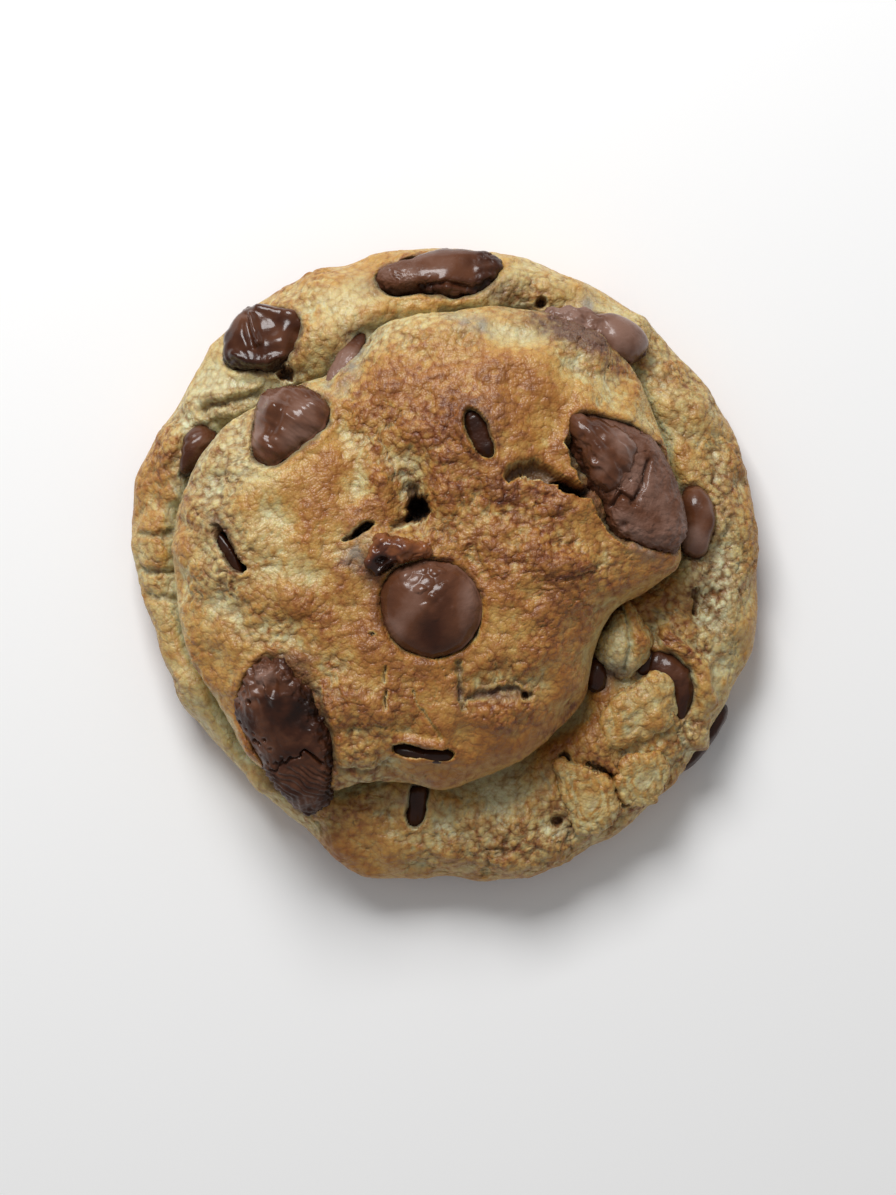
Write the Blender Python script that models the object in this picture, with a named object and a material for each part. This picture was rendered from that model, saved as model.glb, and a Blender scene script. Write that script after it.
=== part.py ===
"""A thick chocolate chip cookie: a craggy crown of dough on a wider skirt, with chocolate pieces sunk in it.

The tables are in millimetres and degrees, and the meshes in metres. The cookie stands on z = 0 round the
origin. Seen from above, +X is right and +Y is up.
"""

import math
from typing import NamedTuple

import bmesh
import bpy
import numpy as np
from mathutils import Euler, Matrix, Vector

MM = 0.001
SOCKET_AIR = 0.35
STEEPEST_LEAN = math.radians(26)

# The skirt: the lower, wider half of the dough, 80 mm across.
RIM_RADII = (39.7, 39.9, 40.1, 39.6, 39.8, 39.8, 40.0, 39.9, 40.5, 40.2, 39.5, 40.6,
             39.1, 37.5, 37.6, 36.6, 37.7, 40.4, 39.8, 40.9, 40.6, 40.1, 39.5, 40.3)
RIM_HEIGHT = 4.6
FOOT_INSET = 2.8
SKIRT_TOP = 10.6
SHOULDER_WIDTH = 9.0
SKIRT_SQUARENESS = 2.4
SKIRT_CORE_HEIGHT = 9.0

# The crown: the upper half, which leans out over the skirt all round and leaves a crease under its edge.
CROWN_RADII = (28.7, 29.9, 31.0, 33.6, 34.1, 32.8, 31.0, 30.5, 27.4, 29.3, 32.3, 33.5,
               33.8, 33.6, 33.0, 34.2, 32.4, 27.6, 28.1, 26.8, 25.4, 24.2, 21.6, 22.2)
CROWN_WIDEST = 13.4
CROWN_RISE = 9.8
CROWN_SQUARENESS = 2.35
CROWN_TUCK = 7.0
CROWN_DEPTH = 6.5

# How finely the two halves are divided.
AROUND = 72
SKIRT_EDGE_RINGS = 8
CROWN_TOP_RINGS = 13
CROWN_UNDER_RINGS = 3
LARGE_PEBBLE = 4.4

# A gentle unevenness of the whole dough.
LUMP_SEED = 11
LUMP_WAVES = 14
LUMP_HEIGHT = 0.30
LUMP_SHORTEST = 5.0
LUMP_LONGEST = 14.0


class Swell(NamedTuple):
    """A soft mound of the surface, or a hollow where rise is negative."""

    x: float
    y: float
    rise: float
    long: float
    wide: float
    turn: float = 0.0


class Pebble(NamedTuple):
    """A rounded body: half sizes, the turn of its long axis, how far its top stands over the dough.

    It leans outwards with the dough under it, or by its own lean.
    """

    x: float
    y: float
    long: float
    wide: float
    high: float
    turn: float = 0.0
    rise: float = 0.0
    taper: float = 0.0
    bend: float = 0.0
    lean: float | None = None


CROWN_SWELLS = {
    "upper_lobe": Swell(5.0, 20.0, 1.3, 11.0, 6.5, -8),
    "left_lobe": Swell(-23.0, 5.0, 0.9, 6.0, 8.0),
    "right_lobe": Swell(14.0, -3.5, 1.4, 8.5, 7.5, -30),
    "lower_lobe": Swell(-1.0, -19.0, 0.9, 10.0, 5.0),
    "left_knob": Swell(-25.5, 7.6, 0.9, 2.4, 2.0),
    "crumbly_lip": Swell(10.0, 8.8, 0.9, 5.5, 2.4, -8),
    "hole_funnel": Swell(-4.6, 8.2, -2.2, 3.8, 3.2, 35),
    "centre_bed": Swell(-1.6, -5.3, -1.6, 8.0, 7.6),
    "smear_knob": Swell(-6.6, 1.7, 1.0, 3.0, 2.2, -30),
    "upper_left_valley": Swell(-12.0, 13.0, -0.9, 3.2, 9.0, 20),
    "streak_valley": Swell(4.5, -15.6, -0.9, 5.0, 2.0, -12),
    "left_pit_hollow": Swell(-26.4, 1.0, -1.3, 2.0, 3.0, 20),
}
SKIRT_SWELLS = {
    "top_shelf": Swell(-7.0, 33.0, 2.8, 15.0, 4.6, 6),
    "lower_left_lobe": Swell(-29.6, -17.6, 1.2, 2.4, 4.0, 25),
    "upper_left_ridge": Swell(-29.0, 21.5, 0.8, 6.0, 1.6, 42),
    "upper_left_fold": Swell(-33.8, 6.5, -0.9, 1.2, 4.0, 70),
    "right_shoulder": Swell(33.0, 17.0, 0.8, 6.5, 3.0, -62),
    "top_shoulder": Swell(12.0, 36.0, 0.7, 5.0, 2.4, -15),
    "torn_crumb": Swell(33.6, -4.2, -0.9, 2.6, 1.4, 85),
    "bottom_knob": Swell(9.8, -38.4, 0.9, 2.2, 1.6),
    "bottom_cobble_1": Swell(5.5, -36.4, 0.7, 2.2, 1.8),
    "bottom_cobble_2": Swell(13.8, -35.2, 0.8, 2.0, 1.8),
    "bottom_cobble_3": Swell(0.4, -34.0, 0.5, 2.6, 1.8),
    "bottom_cobble_4": Swell(9.4, -33.0, 0.6, 2.2, 1.6),
}

# Dough that stands up from the skirt as a nub, a lobe and torn flakes.
DOUGH_LUMPS = {
    "nub": Pebble(22.7, -9.4, 5.0, 3.3, 4.6, 95, 3.6),
    "lobe": Pebble(25.0, -18.0, 5.6, 4.0, 3.6, 30, 1.4),
    "flake_inner": Pebble(17.6, -28.4, 5.4, 4.4, 1.9, 75, 0.6),
    "flake_outer": Pebble(25.0, -26.2, 4.6, 3.2, 1.9, 60, 0.6),
}

# Holes and cracks. High is the half depth, and rise lifts the cutter's top clear of the dough.
DOUGH_HOLES = {
    "centre_hole": Pebble(-3.1, 6.5, 2.2, 1.4, 4.6, 60, 3.0),
    "centre_notch": Pebble(-5.9, 4.9, 1.6, 0.9, 2.8, 30, 2.4),
    "smear_hole": Pebble(-8.0, 0.2, 1.3, 0.8, 2.6, 20, 2.4),
    "left_slit": Pebble(-10.0, 4.8, 1.2, 0.55, 2.4, 45, 2.0),
    "lens_crack": Pebble(12.4, 11.8, 4.4, 0.8, 2.8, -8, 2.0, 0.0, 1.0),
    "plate_hole": Pebble(26.0, 2.6, 1.6, 0.8, 2.6, 10, 2.0),
    "upper_left_hole": Pebble(-20.0, 24.0, 1.2, 0.9, 2.6, 20, 1.6),
    "pit_shade": Pebble(22.6, -14.4, 5.0, 1.9, 2.6, 4, 2.0),
    "flake_crack": Pebble(21.6, -27.0, 3.6, 0.5, 1.9, -48, 1.8),
}

# Chocolate that lies on or in the crown, and chocolate that lies on the skirt.
CROWN_CHIPS = {
    "chip_centre": Pebble(-1.6, -5.3, 6.4, 6.1, 4.3, 20, 3.4),
    "chip_left_shoulder": Pebble(-18.8, 16.6, 5.3, 4.8, 3.3, 105, 1.3, -0.15),
    "chip_sliver": Pebble(-11.9, 25.2, 3.2, 1.4, 1.7, 62, 0.5),
    "chip_slot": Pebble(4.3, 15.8, 3.1, 1.4, 1.8, -62, -1.3),
    "chip_right": Pebble(22.4, 9.7, 10.0, 4.8, 3.6, -54, 1.5, 0.12),
    "chip_lower_left": Pebble(-19.4, -21.0, 10.6, 6.1, 3.9, -77, 1.0, -0.38, lean=36),
    "chip_smile": Pebble(-2.6, -23.2, 3.6, 0.7, 1.5, -8, 0.1, 0.0, -0.9),
    "chip_left_pit": Pebble(-26.4, 0.4, 1.9, 1.1, 1.5, -70, -0.6),
}
SKIRT_CHIPS = {
    "chip_upper_left": Pebble(-22.3, 27.8, 5.2, 4.3, 3.3, 30, 2.0),
    "chip_left_crease": Pebble(-31.2, 13.9, 3.5, 2.3, 2.7, 62, 1.9),
    "chip_top_edge": Pebble(-0.9, 35.4, 8.1, 3.3, 3.1, -3, 1.5),
    "chip_upper_right": Pebble(18.9, 28.8, 6.9, 2.9, 3.8, -10, 3.6, 0.25),
    "chip_right_crease": Pebble(31.7, 5.2, 4.8, 2.3, 2.9, 93, 2.6),
    "chip_pit_left": Pebble(18.9, -14.0, 2.1, 1.5, 2.6, 100, 1.6),
    "chip_pit_right": Pebble(25.6, -12.6, 1.9, 1.5, 1.8, 40, 0.2),
    "chip_ribbon": Pebble(30.0, -14.8, 4.8, 1.2, 1.9, 102, 0.6, 0.0, -2.0),
    "chip_bottom_slot": Pebble(-3.5, -30.4, 2.9, 1.1, 1.8, 80, 0.1),
}
# The piece that shows in the side wall, low at the right, lies along the rim.
SIDE_CHIP = Pebble(32.7, -22.0, 5.2, 1.5, 1.5, 56, bend=-0.5)
SIDE_CHIP_HEIGHT = 5.0

DOUGH_COLOUR = (0.42, 0.25, 0.10, 1.0)
CHOCOLATE_COLOUR = (0.075, 0.028, 0.014, 1.0)


def outline_radius(radii, angle):
    """Radius of an outline at an angle: a closed Catmull-Rom curve through evenly spaced radii."""
    count = len(radii)
    place = (angle / math.tau * count) % count
    step = np.floor(place).astype(int)
    t = place - step
    a, b, c, d = (np.take(radii, step + k, mode="wrap") for k in (-1, 0, 1, 2))
    return b + 0.5 * t * (c - a + t * (2 * a - 5 * b + 4 * c - d + t * (3 * (b - c) + d - a)))


def swell_height(swells, x, y):
    """Sum of the swells at a place: each falls off as a bell along its long and its wide axis."""
    total = np.zeros_like(x)
    for swell in swells.values():
        turn = math.radians(swell.turn)
        along = (x - swell.x) * math.cos(turn) + (y - swell.y) * math.sin(turn)
        across = (y - swell.y) * math.cos(turn) - (x - swell.x) * math.sin(turn)
        total = total + swell.rise * np.exp(-((along / swell.long) ** 2 + (across / swell.wide) ** 2))
    return total


def lump_height(x, y, z):
    """Gentle unevenness: a sum of seeded waves of mixed direction and length."""
    draw = np.random.default_rng(LUMP_SEED)
    total = np.zeros_like(x)
    for _ in range(LUMP_WAVES):
        way = draw.normal(size=3)
        way = way / np.linalg.norm(way) * math.tau / draw.uniform(LUMP_SHORTEST, LUMP_LONGEST)
        total = total + np.sin(way[0] * x + way[1] * y + way[2] * z + draw.uniform(0, math.tau))
    return total * LUMP_HEIGHT / math.sqrt(LUMP_WAVES / 2)


def crown_height(x, y):
    """Height of the crown's top at a place: a superellipse out to the outline, plus its swells."""
    radius = np.minimum(np.hypot(x, y) / outline_radius(CROWN_RADII, np.arctan2(y, x)), 1.0)
    dome = (1 - radius**CROWN_SQUARENESS) ** (1 / CROWN_SQUARENESS)
    return CROWN_WIDEST + CROWN_RISE * dome + swell_height(CROWN_SWELLS, x, y) * dome


def skirt_height(x, y):
    """Height of the skirt's top at a place: flat inside the shoulder, rounded down towards the rim."""
    rim = outline_radius(RIM_RADII, np.arctan2(y, x))
    out = np.clip((np.hypot(x, y) - rim + SHOULDER_WIDTH) / SHOULDER_WIDTH, 0.0, 1.0)
    fall = (1 - out**SKIRT_SQUARENESS) ** (1 / SKIRT_SQUARENESS)
    return RIM_HEIGHT + (SKIRT_TOP - RIM_HEIGHT) * fall + swell_height(SKIRT_SWELLS, x, y) * fall


def shell_object(name, top, rings, bottom):
    """Closed mesh from a top point, rings of points downwards and a bottom point, in millimetres."""
    mesh = bpy.data.meshes.new(name)
    build = bmesh.new()
    first = build.verts.new(Vector(top) * MM)
    last = build.verts.new(Vector(bottom) * MM)
    loops = [[build.verts.new(Vector(point) * MM) for point in ring] for ring in rings]
    count = len(loops[0])
    for i in range(count):
        j = (i + 1) % count
        build.faces.new((first, loops[0][i], loops[0][j]))
        build.faces.new((last, loops[-1][j], loops[-1][i]))
        for upper, lower in zip(loops, loops[1:]):
            build.faces.new((upper[i], lower[i], lower[j], upper[j]))
    bmesh.ops.triangulate(build, faces=build.faces)
    bmesh.ops.recalc_face_normals(build, faces=build.faces)
    build.to_mesh(mesh)
    build.free()
    mesh.shade_smooth()
    shell = bpy.data.objects.new(name, mesh)
    bpy.context.collection.objects.link(shell)
    return shell


def make_skirt():
    """The lower half: a flat foot, a rounded rim and a shoulder that rises to the crease."""
    angle = np.arange(AROUND) * math.tau / AROUND
    rim = outline_radius(RIM_RADII, angle)
    power = 2 / SKIRT_SQUARENESS
    rings = []
    for step in range(SKIRT_EDGE_RINGS):
        slope = (math.pi / 2) * (1 - step / (SKIRT_EDGE_RINGS - 1))
        reach = rim - SHOULDER_WIDTH * (1 - math.cos(slope) ** power if slope < math.pi / 2 else 1)
        x = reach * np.cos(angle)
        y = reach * np.sin(angle)
        z = skirt_height(x, y)
        push = lump_height(x, y, z) * (1.0 - 0.4 * math.sin(slope))
        x = x + push * np.cos(angle) * math.cos(slope)
        y = y + push * np.sin(angle) * math.cos(slope)
        rings.append(np.column_stack([x, y, z + push * math.sin(slope)]))
    under = math.pi / 4
    tucked = rim - FOOT_INSET * (1 - math.cos(under))
    foot = rim - FOOT_INSET
    low = np.full(AROUND, RIM_HEIGHT * (1 - math.sin(under)))
    rings.append(np.column_stack([tucked * np.cos(angle), tucked * np.sin(angle), low]))
    rings.append(np.column_stack([foot * np.cos(angle), foot * np.sin(angle), np.zeros(AROUND)]))
    return shell_object("skirt", (0, 0, SKIRT_CORE_HEIGHT), rings, (0, 0, 0))


def make_crown():
    """The upper half: a craggy dome whose edge leans out and tucks back under, down into the skirt."""
    angle = np.arange(AROUND) * math.tau / AROUND
    edge = outline_radius(CROWN_RADII, angle)
    rings = []
    for step in range(1, CROWN_TOP_RINGS + 1):
        slope = (math.pi / 2) * step / CROWN_TOP_RINGS
        reach = edge * math.sin(slope) ** (2 / CROWN_SQUARENESS)
        x = reach * np.cos(angle)
        y = reach * np.sin(angle)
        z = crown_height(x, y)
        push = lump_height(x, y, z)
        x = x + push * np.cos(angle) * math.sin(slope)
        y = y + push * np.sin(angle) * math.sin(slope)
        rings.append(np.column_stack([x, y, z + push * math.cos(slope)]))
    for step in range(1, CROWN_UNDER_RINGS + 1):
        slope = (math.pi / 2) * step / CROWN_UNDER_RINGS
        reach = edge - CROWN_TUCK * (1 - math.cos(slope))
        z = np.full(AROUND, CROWN_WIDEST - CROWN_DEPTH * math.sin(slope))
        rings.append(np.column_stack([reach * np.cos(angle), reach * np.sin(angle), z]))
    peak = crown_height(np.zeros(1), np.zeros(1))[0]
    return shell_object("crown", (0, 0, peak), rings, (0, 0, CROWN_WIDEST - CROWN_DEPTH))


def make_pebble(name, pebble, up, down, grow=0.0):
    """A rounded body round its own origin: an ellipsoid that can taper to one end and bend like a bow."""
    around, levels = (16, 7) if pebble.long > LARGE_PEBBLE else (12, 5)
    long, wide = pebble.long + grow, pebble.wide + grow
    turn = np.arange(around) * math.tau / around
    rings = []
    for level in range(1, levels):
        slope = math.pi * level / levels
        x = long * math.sin(slope) * np.cos(turn)
        along = x / long
        y = wide * math.sin(slope) * np.sin(turn) * (1 + pebble.taper * along)
        y = y + pebble.bend * (1 - along**2)
        height = up if slope < math.pi / 2 else down
        rings.append(np.column_stack([x, y, np.full(around, height * math.cos(slope))]))
    return shell_object(name, (0, pebble.bend, up), rings, (0, pebble.bend, -down))


def lean_angle(height_of, pebble):
    """Slope of the dough outwards at a pebble, so that the pebble lies along it."""
    reach = math.hypot(pebble.x, pebble.y)
    step = 1.5
    ends = [height_of(np.array([pebble.x * k]), np.array([pebble.y * k]))[0]
            for k in (1 - step / reach, 1 + step / reach)]
    return min(math.atan2(ends[0] - ends[1], 2 * step), STEEPEST_LEAN)


def seat(body, height_of, pebble, half_height):
    """Stand a pebble in the dough: turned in plan, leaned outwards with the slope, its top at its rise."""
    out = math.atan2(pebble.y, pebble.x)
    lean = lean_angle(height_of, pebble) if pebble.lean is None else math.radians(pebble.lean)
    turn = Matrix.Rotation(out, 3, "Z") @ Matrix.Rotation(lean, 3, "Y")
    turn = turn @ Matrix.Rotation(math.radians(pebble.turn) - out, 3, "Z")
    top = height_of(np.array([pebble.x]), np.array([pebble.y]))[0] + pebble.rise
    body.rotation_euler = turn.to_euler()
    body.location = Vector((pebble.x, pebble.y, top - half_height)) * MM


def hide_helper(helper):
    helper.hide_render = True
    helper.display_type = "WIRE"


def join(dough, helper, operation):
    """Add a helper to the dough or cut it away. The exact solver leaves open edges at the crease."""
    hide_helper(helper)
    boolean = dough.modifiers.new(f"{operation.lower()} {helper.name}", "BOOLEAN")
    boolean.object = helper
    boolean.operation = operation
    boolean.solver = "MANIFOLD"


def plain_material(name, colour, roughness):
    material = bpy.data.materials.new(name)
    material.use_nodes = True
    shader = material.node_tree.nodes["Principled BSDF"]
    shader.inputs["Base Color"].default_value = colour
    shader.inputs["Roughness"].default_value = roughness
    shader.inputs["Metallic"].default_value = 0.0
    return material


def make_chip(name, pebble, height_of, dough, chocolate):
    """A chocolate piece and its socket, which has air round it and is open to the top where it is sunk."""
    chip = make_pebble(name, pebble, pebble.high, pebble.high)
    seat(chip, height_of, pebble, pebble.high)
    chip.data.materials.append(chocolate)
    opening = max(0.0, 1.5 - pebble.rise)
    socket = make_pebble(f"{name}_socket", pebble, pebble.high + opening, pebble.high + SOCKET_AIR, SOCKET_AIR)
    seat(socket, height_of, pebble, pebble.high)
    join(dough, socket, "DIFFERENCE")
    return chip, socket


def make_side_chip(dough, chocolate):
    """The piece in the side wall, laid along the rim at its own height."""
    chip = make_pebble("chip_side", SIDE_CHIP, SIDE_CHIP.high, SIDE_CHIP.high)
    grown = SIDE_CHIP.high + SOCKET_AIR
    socket = make_pebble("chip_side_socket", SIDE_CHIP, grown, grown, SOCKET_AIR)
    for body in (chip, socket):
        body.rotation_euler = Euler((0, 0, math.radians(SIDE_CHIP.turn)))
        body.location = Vector((SIDE_CHIP.x, SIDE_CHIP.y, SIDE_CHIP_HEIGHT)) * MM
    chip.data.materials.append(chocolate)
    join(dough, socket, "DIFFERENCE")
    return chip, socket


def make_cookie():
    for old in list(bpy.data.objects):
        bpy.data.objects.remove(old, do_unlink=True)
    cookie = bpy.data.objects.new("cookie", None)
    bpy.context.collection.objects.link(cookie)

    baked = plain_material("baked dough", DOUGH_COLOUR, 0.75)
    chocolate = plain_material("milk chocolate", CHOCOLATE_COLOUR, 0.3)

    dough = make_skirt()
    dough.name = "dough"
    dough.data.materials.append(baked)
    bodies = [dough, make_crown()]
    join(dough, bodies[1], "UNION")
    for name, pebble in DOUGH_LUMPS.items():
        lump = make_pebble(name, pebble, pebble.high, pebble.high)
        seat(lump, skirt_height, pebble, pebble.high)
        join(dough, lump, "UNION")
        bodies.append(lump)
    for name, pebble in DOUGH_HOLES.items():
        edge = outline_radius(CROWN_RADII, np.array(math.atan2(pebble.y, pebble.x)))
        on_crown = math.hypot(pebble.x, pebble.y) < edge
        hole = make_pebble(name, pebble, pebble.high, pebble.high)
        seat(hole, crown_height if on_crown else skirt_height, pebble, pebble.high)
        join(dough, hole, "DIFFERENCE")
        bodies.append(hole)
    for name, pebble in CROWN_CHIPS.items():
        bodies.extend(make_chip(name, pebble, crown_height, dough, chocolate))
    for name, pebble in SKIRT_CHIPS.items():
        bodies.extend(make_chip(name, pebble, skirt_height, dough, chocolate))
    bodies.extend(make_side_chip(dough, chocolate))
    for body in bodies:
        body.parent = cookie


make_cookie()
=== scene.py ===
"""A thick chocolate chip cookie from above: cracked golden dough with half-melted milk chocolate chips.

Lengths are in millimetres until a mesh is made. Heights run up from the flat foot of the cookie.
"""

import math
from typing import NamedTuple

import bpy
import numpy as np
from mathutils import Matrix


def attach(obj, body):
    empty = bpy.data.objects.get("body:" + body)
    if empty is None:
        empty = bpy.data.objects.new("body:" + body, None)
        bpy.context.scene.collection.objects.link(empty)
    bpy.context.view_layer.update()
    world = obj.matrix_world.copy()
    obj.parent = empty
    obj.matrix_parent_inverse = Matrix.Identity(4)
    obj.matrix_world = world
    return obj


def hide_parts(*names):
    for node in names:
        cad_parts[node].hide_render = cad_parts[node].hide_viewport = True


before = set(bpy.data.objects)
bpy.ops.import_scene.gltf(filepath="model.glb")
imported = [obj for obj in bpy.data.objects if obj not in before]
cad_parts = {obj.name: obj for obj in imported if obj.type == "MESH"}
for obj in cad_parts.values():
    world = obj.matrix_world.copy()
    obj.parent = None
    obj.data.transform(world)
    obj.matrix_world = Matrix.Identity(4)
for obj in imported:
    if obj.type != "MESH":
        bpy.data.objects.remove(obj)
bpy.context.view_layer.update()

MM = 0.001

# The baked form: outline radii every 15 degrees from +X, and the heights of the skirt and the crown.
RIM_RADII = (39.7, 39.9, 40.1, 39.6, 39.8, 39.8, 40.0, 39.9, 40.5, 40.2, 39.5, 40.6,
             39.1, 37.5, 37.6, 36.6, 37.7, 40.4, 39.8, 40.9, 40.6, 40.1, 39.5, 40.3)
RIM_HEIGHT = 4.6
FOOT_INSET = 2.8
SKIRT_TOP = 10.6
SHOULDER_WIDTH = 9.0
SKIRT_SQUARENESS = 2.4
CROWN_RADII = (28.7, 29.9, 31.0, 33.6, 34.1, 32.8, 31.0, 30.5, 27.4, 29.3, 32.3, 33.5,
               33.8, 33.6, 33.0, 34.2, 32.4, 27.6, 28.1, 26.8, 25.4, 24.2, 21.6, 22.2)
CROWN_WIDEST = 13.4
CROWN_RISE = 9.8
CROWN_SQUARENESS = 2.35
CROWN_TUCK = 7.0
CROWN_DEPTH = 6.5

# Gentle unevenness of the whole dough, as in the solid model.
LUMP_SEED = 11
LUMP_WAVES = 14
LUMP_HEIGHT = 0.30
LUMP_SHORTEST = 5.0
LUMP_LONGEST = 14.0

# How finely each dough piece is divided.
CROWN_GRID = 306
SKIRT_AROUND = 780
SKIRT_SHELF_STEPS = 30
SKIRT_SHOULDER_STEPS = 54
SKIRT_SIDE_STEPS = 14
SKIRT_FOOT_STEPS = 22
SKIRT_INNER_REACH = 8.0
SKIRT_HUB_RADIUS = 1.5
CARAMEL_GRID = 110
# The value of every mark at a closing point, which lies hidden under its piece.
HUB_MARK = 0.5


class Swell(NamedTuple):
    """A soft mound of the surface, or a hollow where rise is negative."""

    x: float
    y: float
    rise: float
    long: float
    wide: float
    turn: float = 0.0


def swells(*rows):
    """Swells from rows of numbers."""
    return tuple(Swell(*row) for row in rows)


CROWN_SWELLS = swells(
    (5, 20, 1.3, 11, 6.5, -8), (-23, 5, 0.9, 6, 8), (14, -3.5, 1.4, 8.5, 7.5, -30), (-1, -19, 0.9, 10, 5),
    (-25.5, 7.6, 0.9, 2.4, 2), (10, 8.8, 0.9, 5.5, 2.4, -8), (-4, 8.3, -2.5, 4.2, 2.8, -66),
    (-7.6, 9.6, 0.7, 2.6, 2, -66), (-1.6, -5.3, -1.6, 8, 7.6), (-6.6, 1.7, 1, 3, 2.2, -30),
    (-12, 13, -0.9, 3.2, 9, 20), (4.5, -15.6, -0.9, 5, 2, -12), (15.4, 29, 0.8, 4.5, 1.6, -16),
    (-26.4, 1, -1.3, 2, 3, 20),
)
SKIRT_SWELLS = swells(
    (-7, 33, 2.8, 15, 4.6, 6), (-29.6, -17.6, 1.2, 2.4, 4, 25), (-16.5, 27, 2.4, 6, 4.2, 35),
    (-12.5, 26.6, 1.9, 5, 3, 25), (-9.5, 29, 1.9, 5, 2.4, 15), (19.5, -21.5, 1.5, 4.5, 2.6, 42),
    (-29, 21.5, 0.8, 6, 1.6, 42), (-33.8, 6.5, -0.9, 1.2, 4, 70), (33, 17, 0.8, 6.5, 3, -62),
    (12, 36, 0.7, 5, 2.4, -15), (33.6, -4.2, -0.9, 2.6, 1.4, 85), (9.8, -38.4, 0.9, 2.2, 1.6),
    (5.5, -36.4, 0.7, 2.2, 1.8), (13.8, -35.2, 0.8, 2, 1.8), (0.4, -34, 0.5, 2.6, 1.8), (9.4, -33, 0.6, 2.2, 1.6),
)

# The skirt sinks into a crease along the crown's edge, but for the places where the two run together.
CREASE_DEPTH = 2.2
CREASE_REACH = 1.5
SHALLOW_CREASE = swells((-1, 31, 1, 13, 4, 4), (-17, 25.5, 1, 8, 5, 35))


class Groove(NamedTuple):
    """A crack along a path, or a ridge where depth is negative: how wide it is each side, and how ragged."""

    path: tuple
    reach: float
    depth: float
    ragged: float = 0.35


class Pit(NamedTuple):
    """A hole in the dough: half sizes, the turn of its long axis, its depth."""

    x: float
    y: float
    long: float
    wide: float
    depth: float
    turn: float = 0.0


def pits(*rows):
    """Pits from rows of numbers."""
    return tuple(Pit(*row) for row in rows)


CROWN_GROOVES = (
    Groove(((7.7, 10.8), (9.8, 11.8), (11.8, 11.3), (14.1, 10), (15.9, 9), (17.4, 8.7)), 0.8, 2.4, 0.35),
    Groove(((-12.2, 2.8), (-10.8, 3.4)), 0.35, 1.6, 0.3),
    Groove(((-28.1, 4.3), (-26.6, 1.6), (-24.6, -1.2)), 0.55, 1.6, 0.3),
    Groove(((-7.2, -12.9), (-7.2, -14.5)), 0.15, 1.1, 0.1),
    Groove(((-7.2, -15.7), (-7.1, -17.8)), 0.16, 1.2, 0.1),
    Groove(((-3.9, -15.6), (-3, -18), (-1.8, -19.5), (-0.3, -21.7)), 0.2, 0.5),
    Groove(((1.7, -12.3), (1.9, -15), (2.6, -17.9)), 0.45, 0.9),
    Groove(((-5.8, -21.7), (-3.4, -22.2), (-0.4, -22.5)), 0.6, -0.6, 0.2),
    Groove(((3.4, -16.3), (6.8, -15.7), (10.8, -16.5)), 0.4, 0.9),
    Groove(((15.2, 14.9), (16.2, 11.9), (17.8, 8.8), (19.1, 6.4), (20.7, 3.9), (22.7, 2.2)), 0.4, 1.2),
)
CROWN_PITS = pits(
    (-3.1, 6.5, 1.9, 1.45, 6, 70), (-5.2, 4.9, 1.3, 0.6, 1.2, 25), (-3.9, 8.4, 1.8, 0.9, 1.5, -70),
    (-9.9, 4.1, 1.9, 0.55, 4, 34), (-25.6, 0.4, 1.4, 0.6, 2.6, -58), (-7.6, -0.3, 1.4, 0.9, 3.2, 20),
    (-8.8, -8.7, 0.28, 0.22, 1.2), (10, -16.5, 0.5, 0.35, 1.6), (15.4, 9.3, 1.9, 0.45, 3.4, -28),
    (16.9, 8.7, 0.8, 0.5, 2.2, -10),
)
SKIRT_GROOVES = (
    Groove(((-30.1, 20.5), (-26.9, 21.4), (-23.3, 22.4)), 0.7, -0.7),
    Groove(((-30.4, 19.3), (-27.2, 20.3), (-23.5, 21.2)), 0.5, 0.8),
    Groove(((-30.7, 18.1), (-27.5, 19), (-23.7, 19.8)), 0.7, -0.6),
    Groove(((-33.5, 16.7), (-34.2, 15.1), (-34.8, 13.2)), 0.9, -0.9),
    Groove(((-38.3, 3.6), (-36.3, 3.3), (-34.1, 3.8)), 0.45, 0.7),
    Groove(((-38, -0.8), (-36, -1.2), (-33.4, -1.1)), 0.45, 0.7),
    Groove(((-37.4, -4), (-35.3, -4.4), (-33, -4.6)), 0.45, 0.6),
    Groove(((27.6, -9), (32, -12.8), (32.8, -17.2), (31.6, -22.2)), 1.1, -1.5, 0.2),
    Groove(((18.2, -25.3), (21, -26.5), (22, -28.4), (22.7, -30.4)), 0.4, 1.8),
    Groove(((31.4, -3.4), (31.8, -4.7), (31.6, -6)), 0.5, 1.6),
    Groove(((-11.8, 28.6), (-5.5, 29.8), (0.7, 29.7), (6.9, 30.2), (11.8, 29.3)), 1.6, 0.8),
)
SKIRT_PITS = pits(
    (-19.6, 23.7, 1.2, 0.9, 2.6, 20), (12, 32.7, 0.8, 0.6, 2.4, 30), (15.1, -24.3, 1, 0.5, 2, -40),
    (14.9, -28.1, 0.6, 0.5, 1.6), (14.2, -32.4, 0.8, 0.6, 1.5),
)


class Chip(NamedTuple):
    """A chocolate piece: its middle, the turn of its long axis, outline radii at even angles from that axis,
    half its height, how far its top stands over the dough, its lean outwards in degrees, and which dough it is in."""

    x: float
    y: float
    turn: float
    radii: tuple
    high: float
    rise: float
    lean: float = 0.0
    on_crown: bool = True


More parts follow.
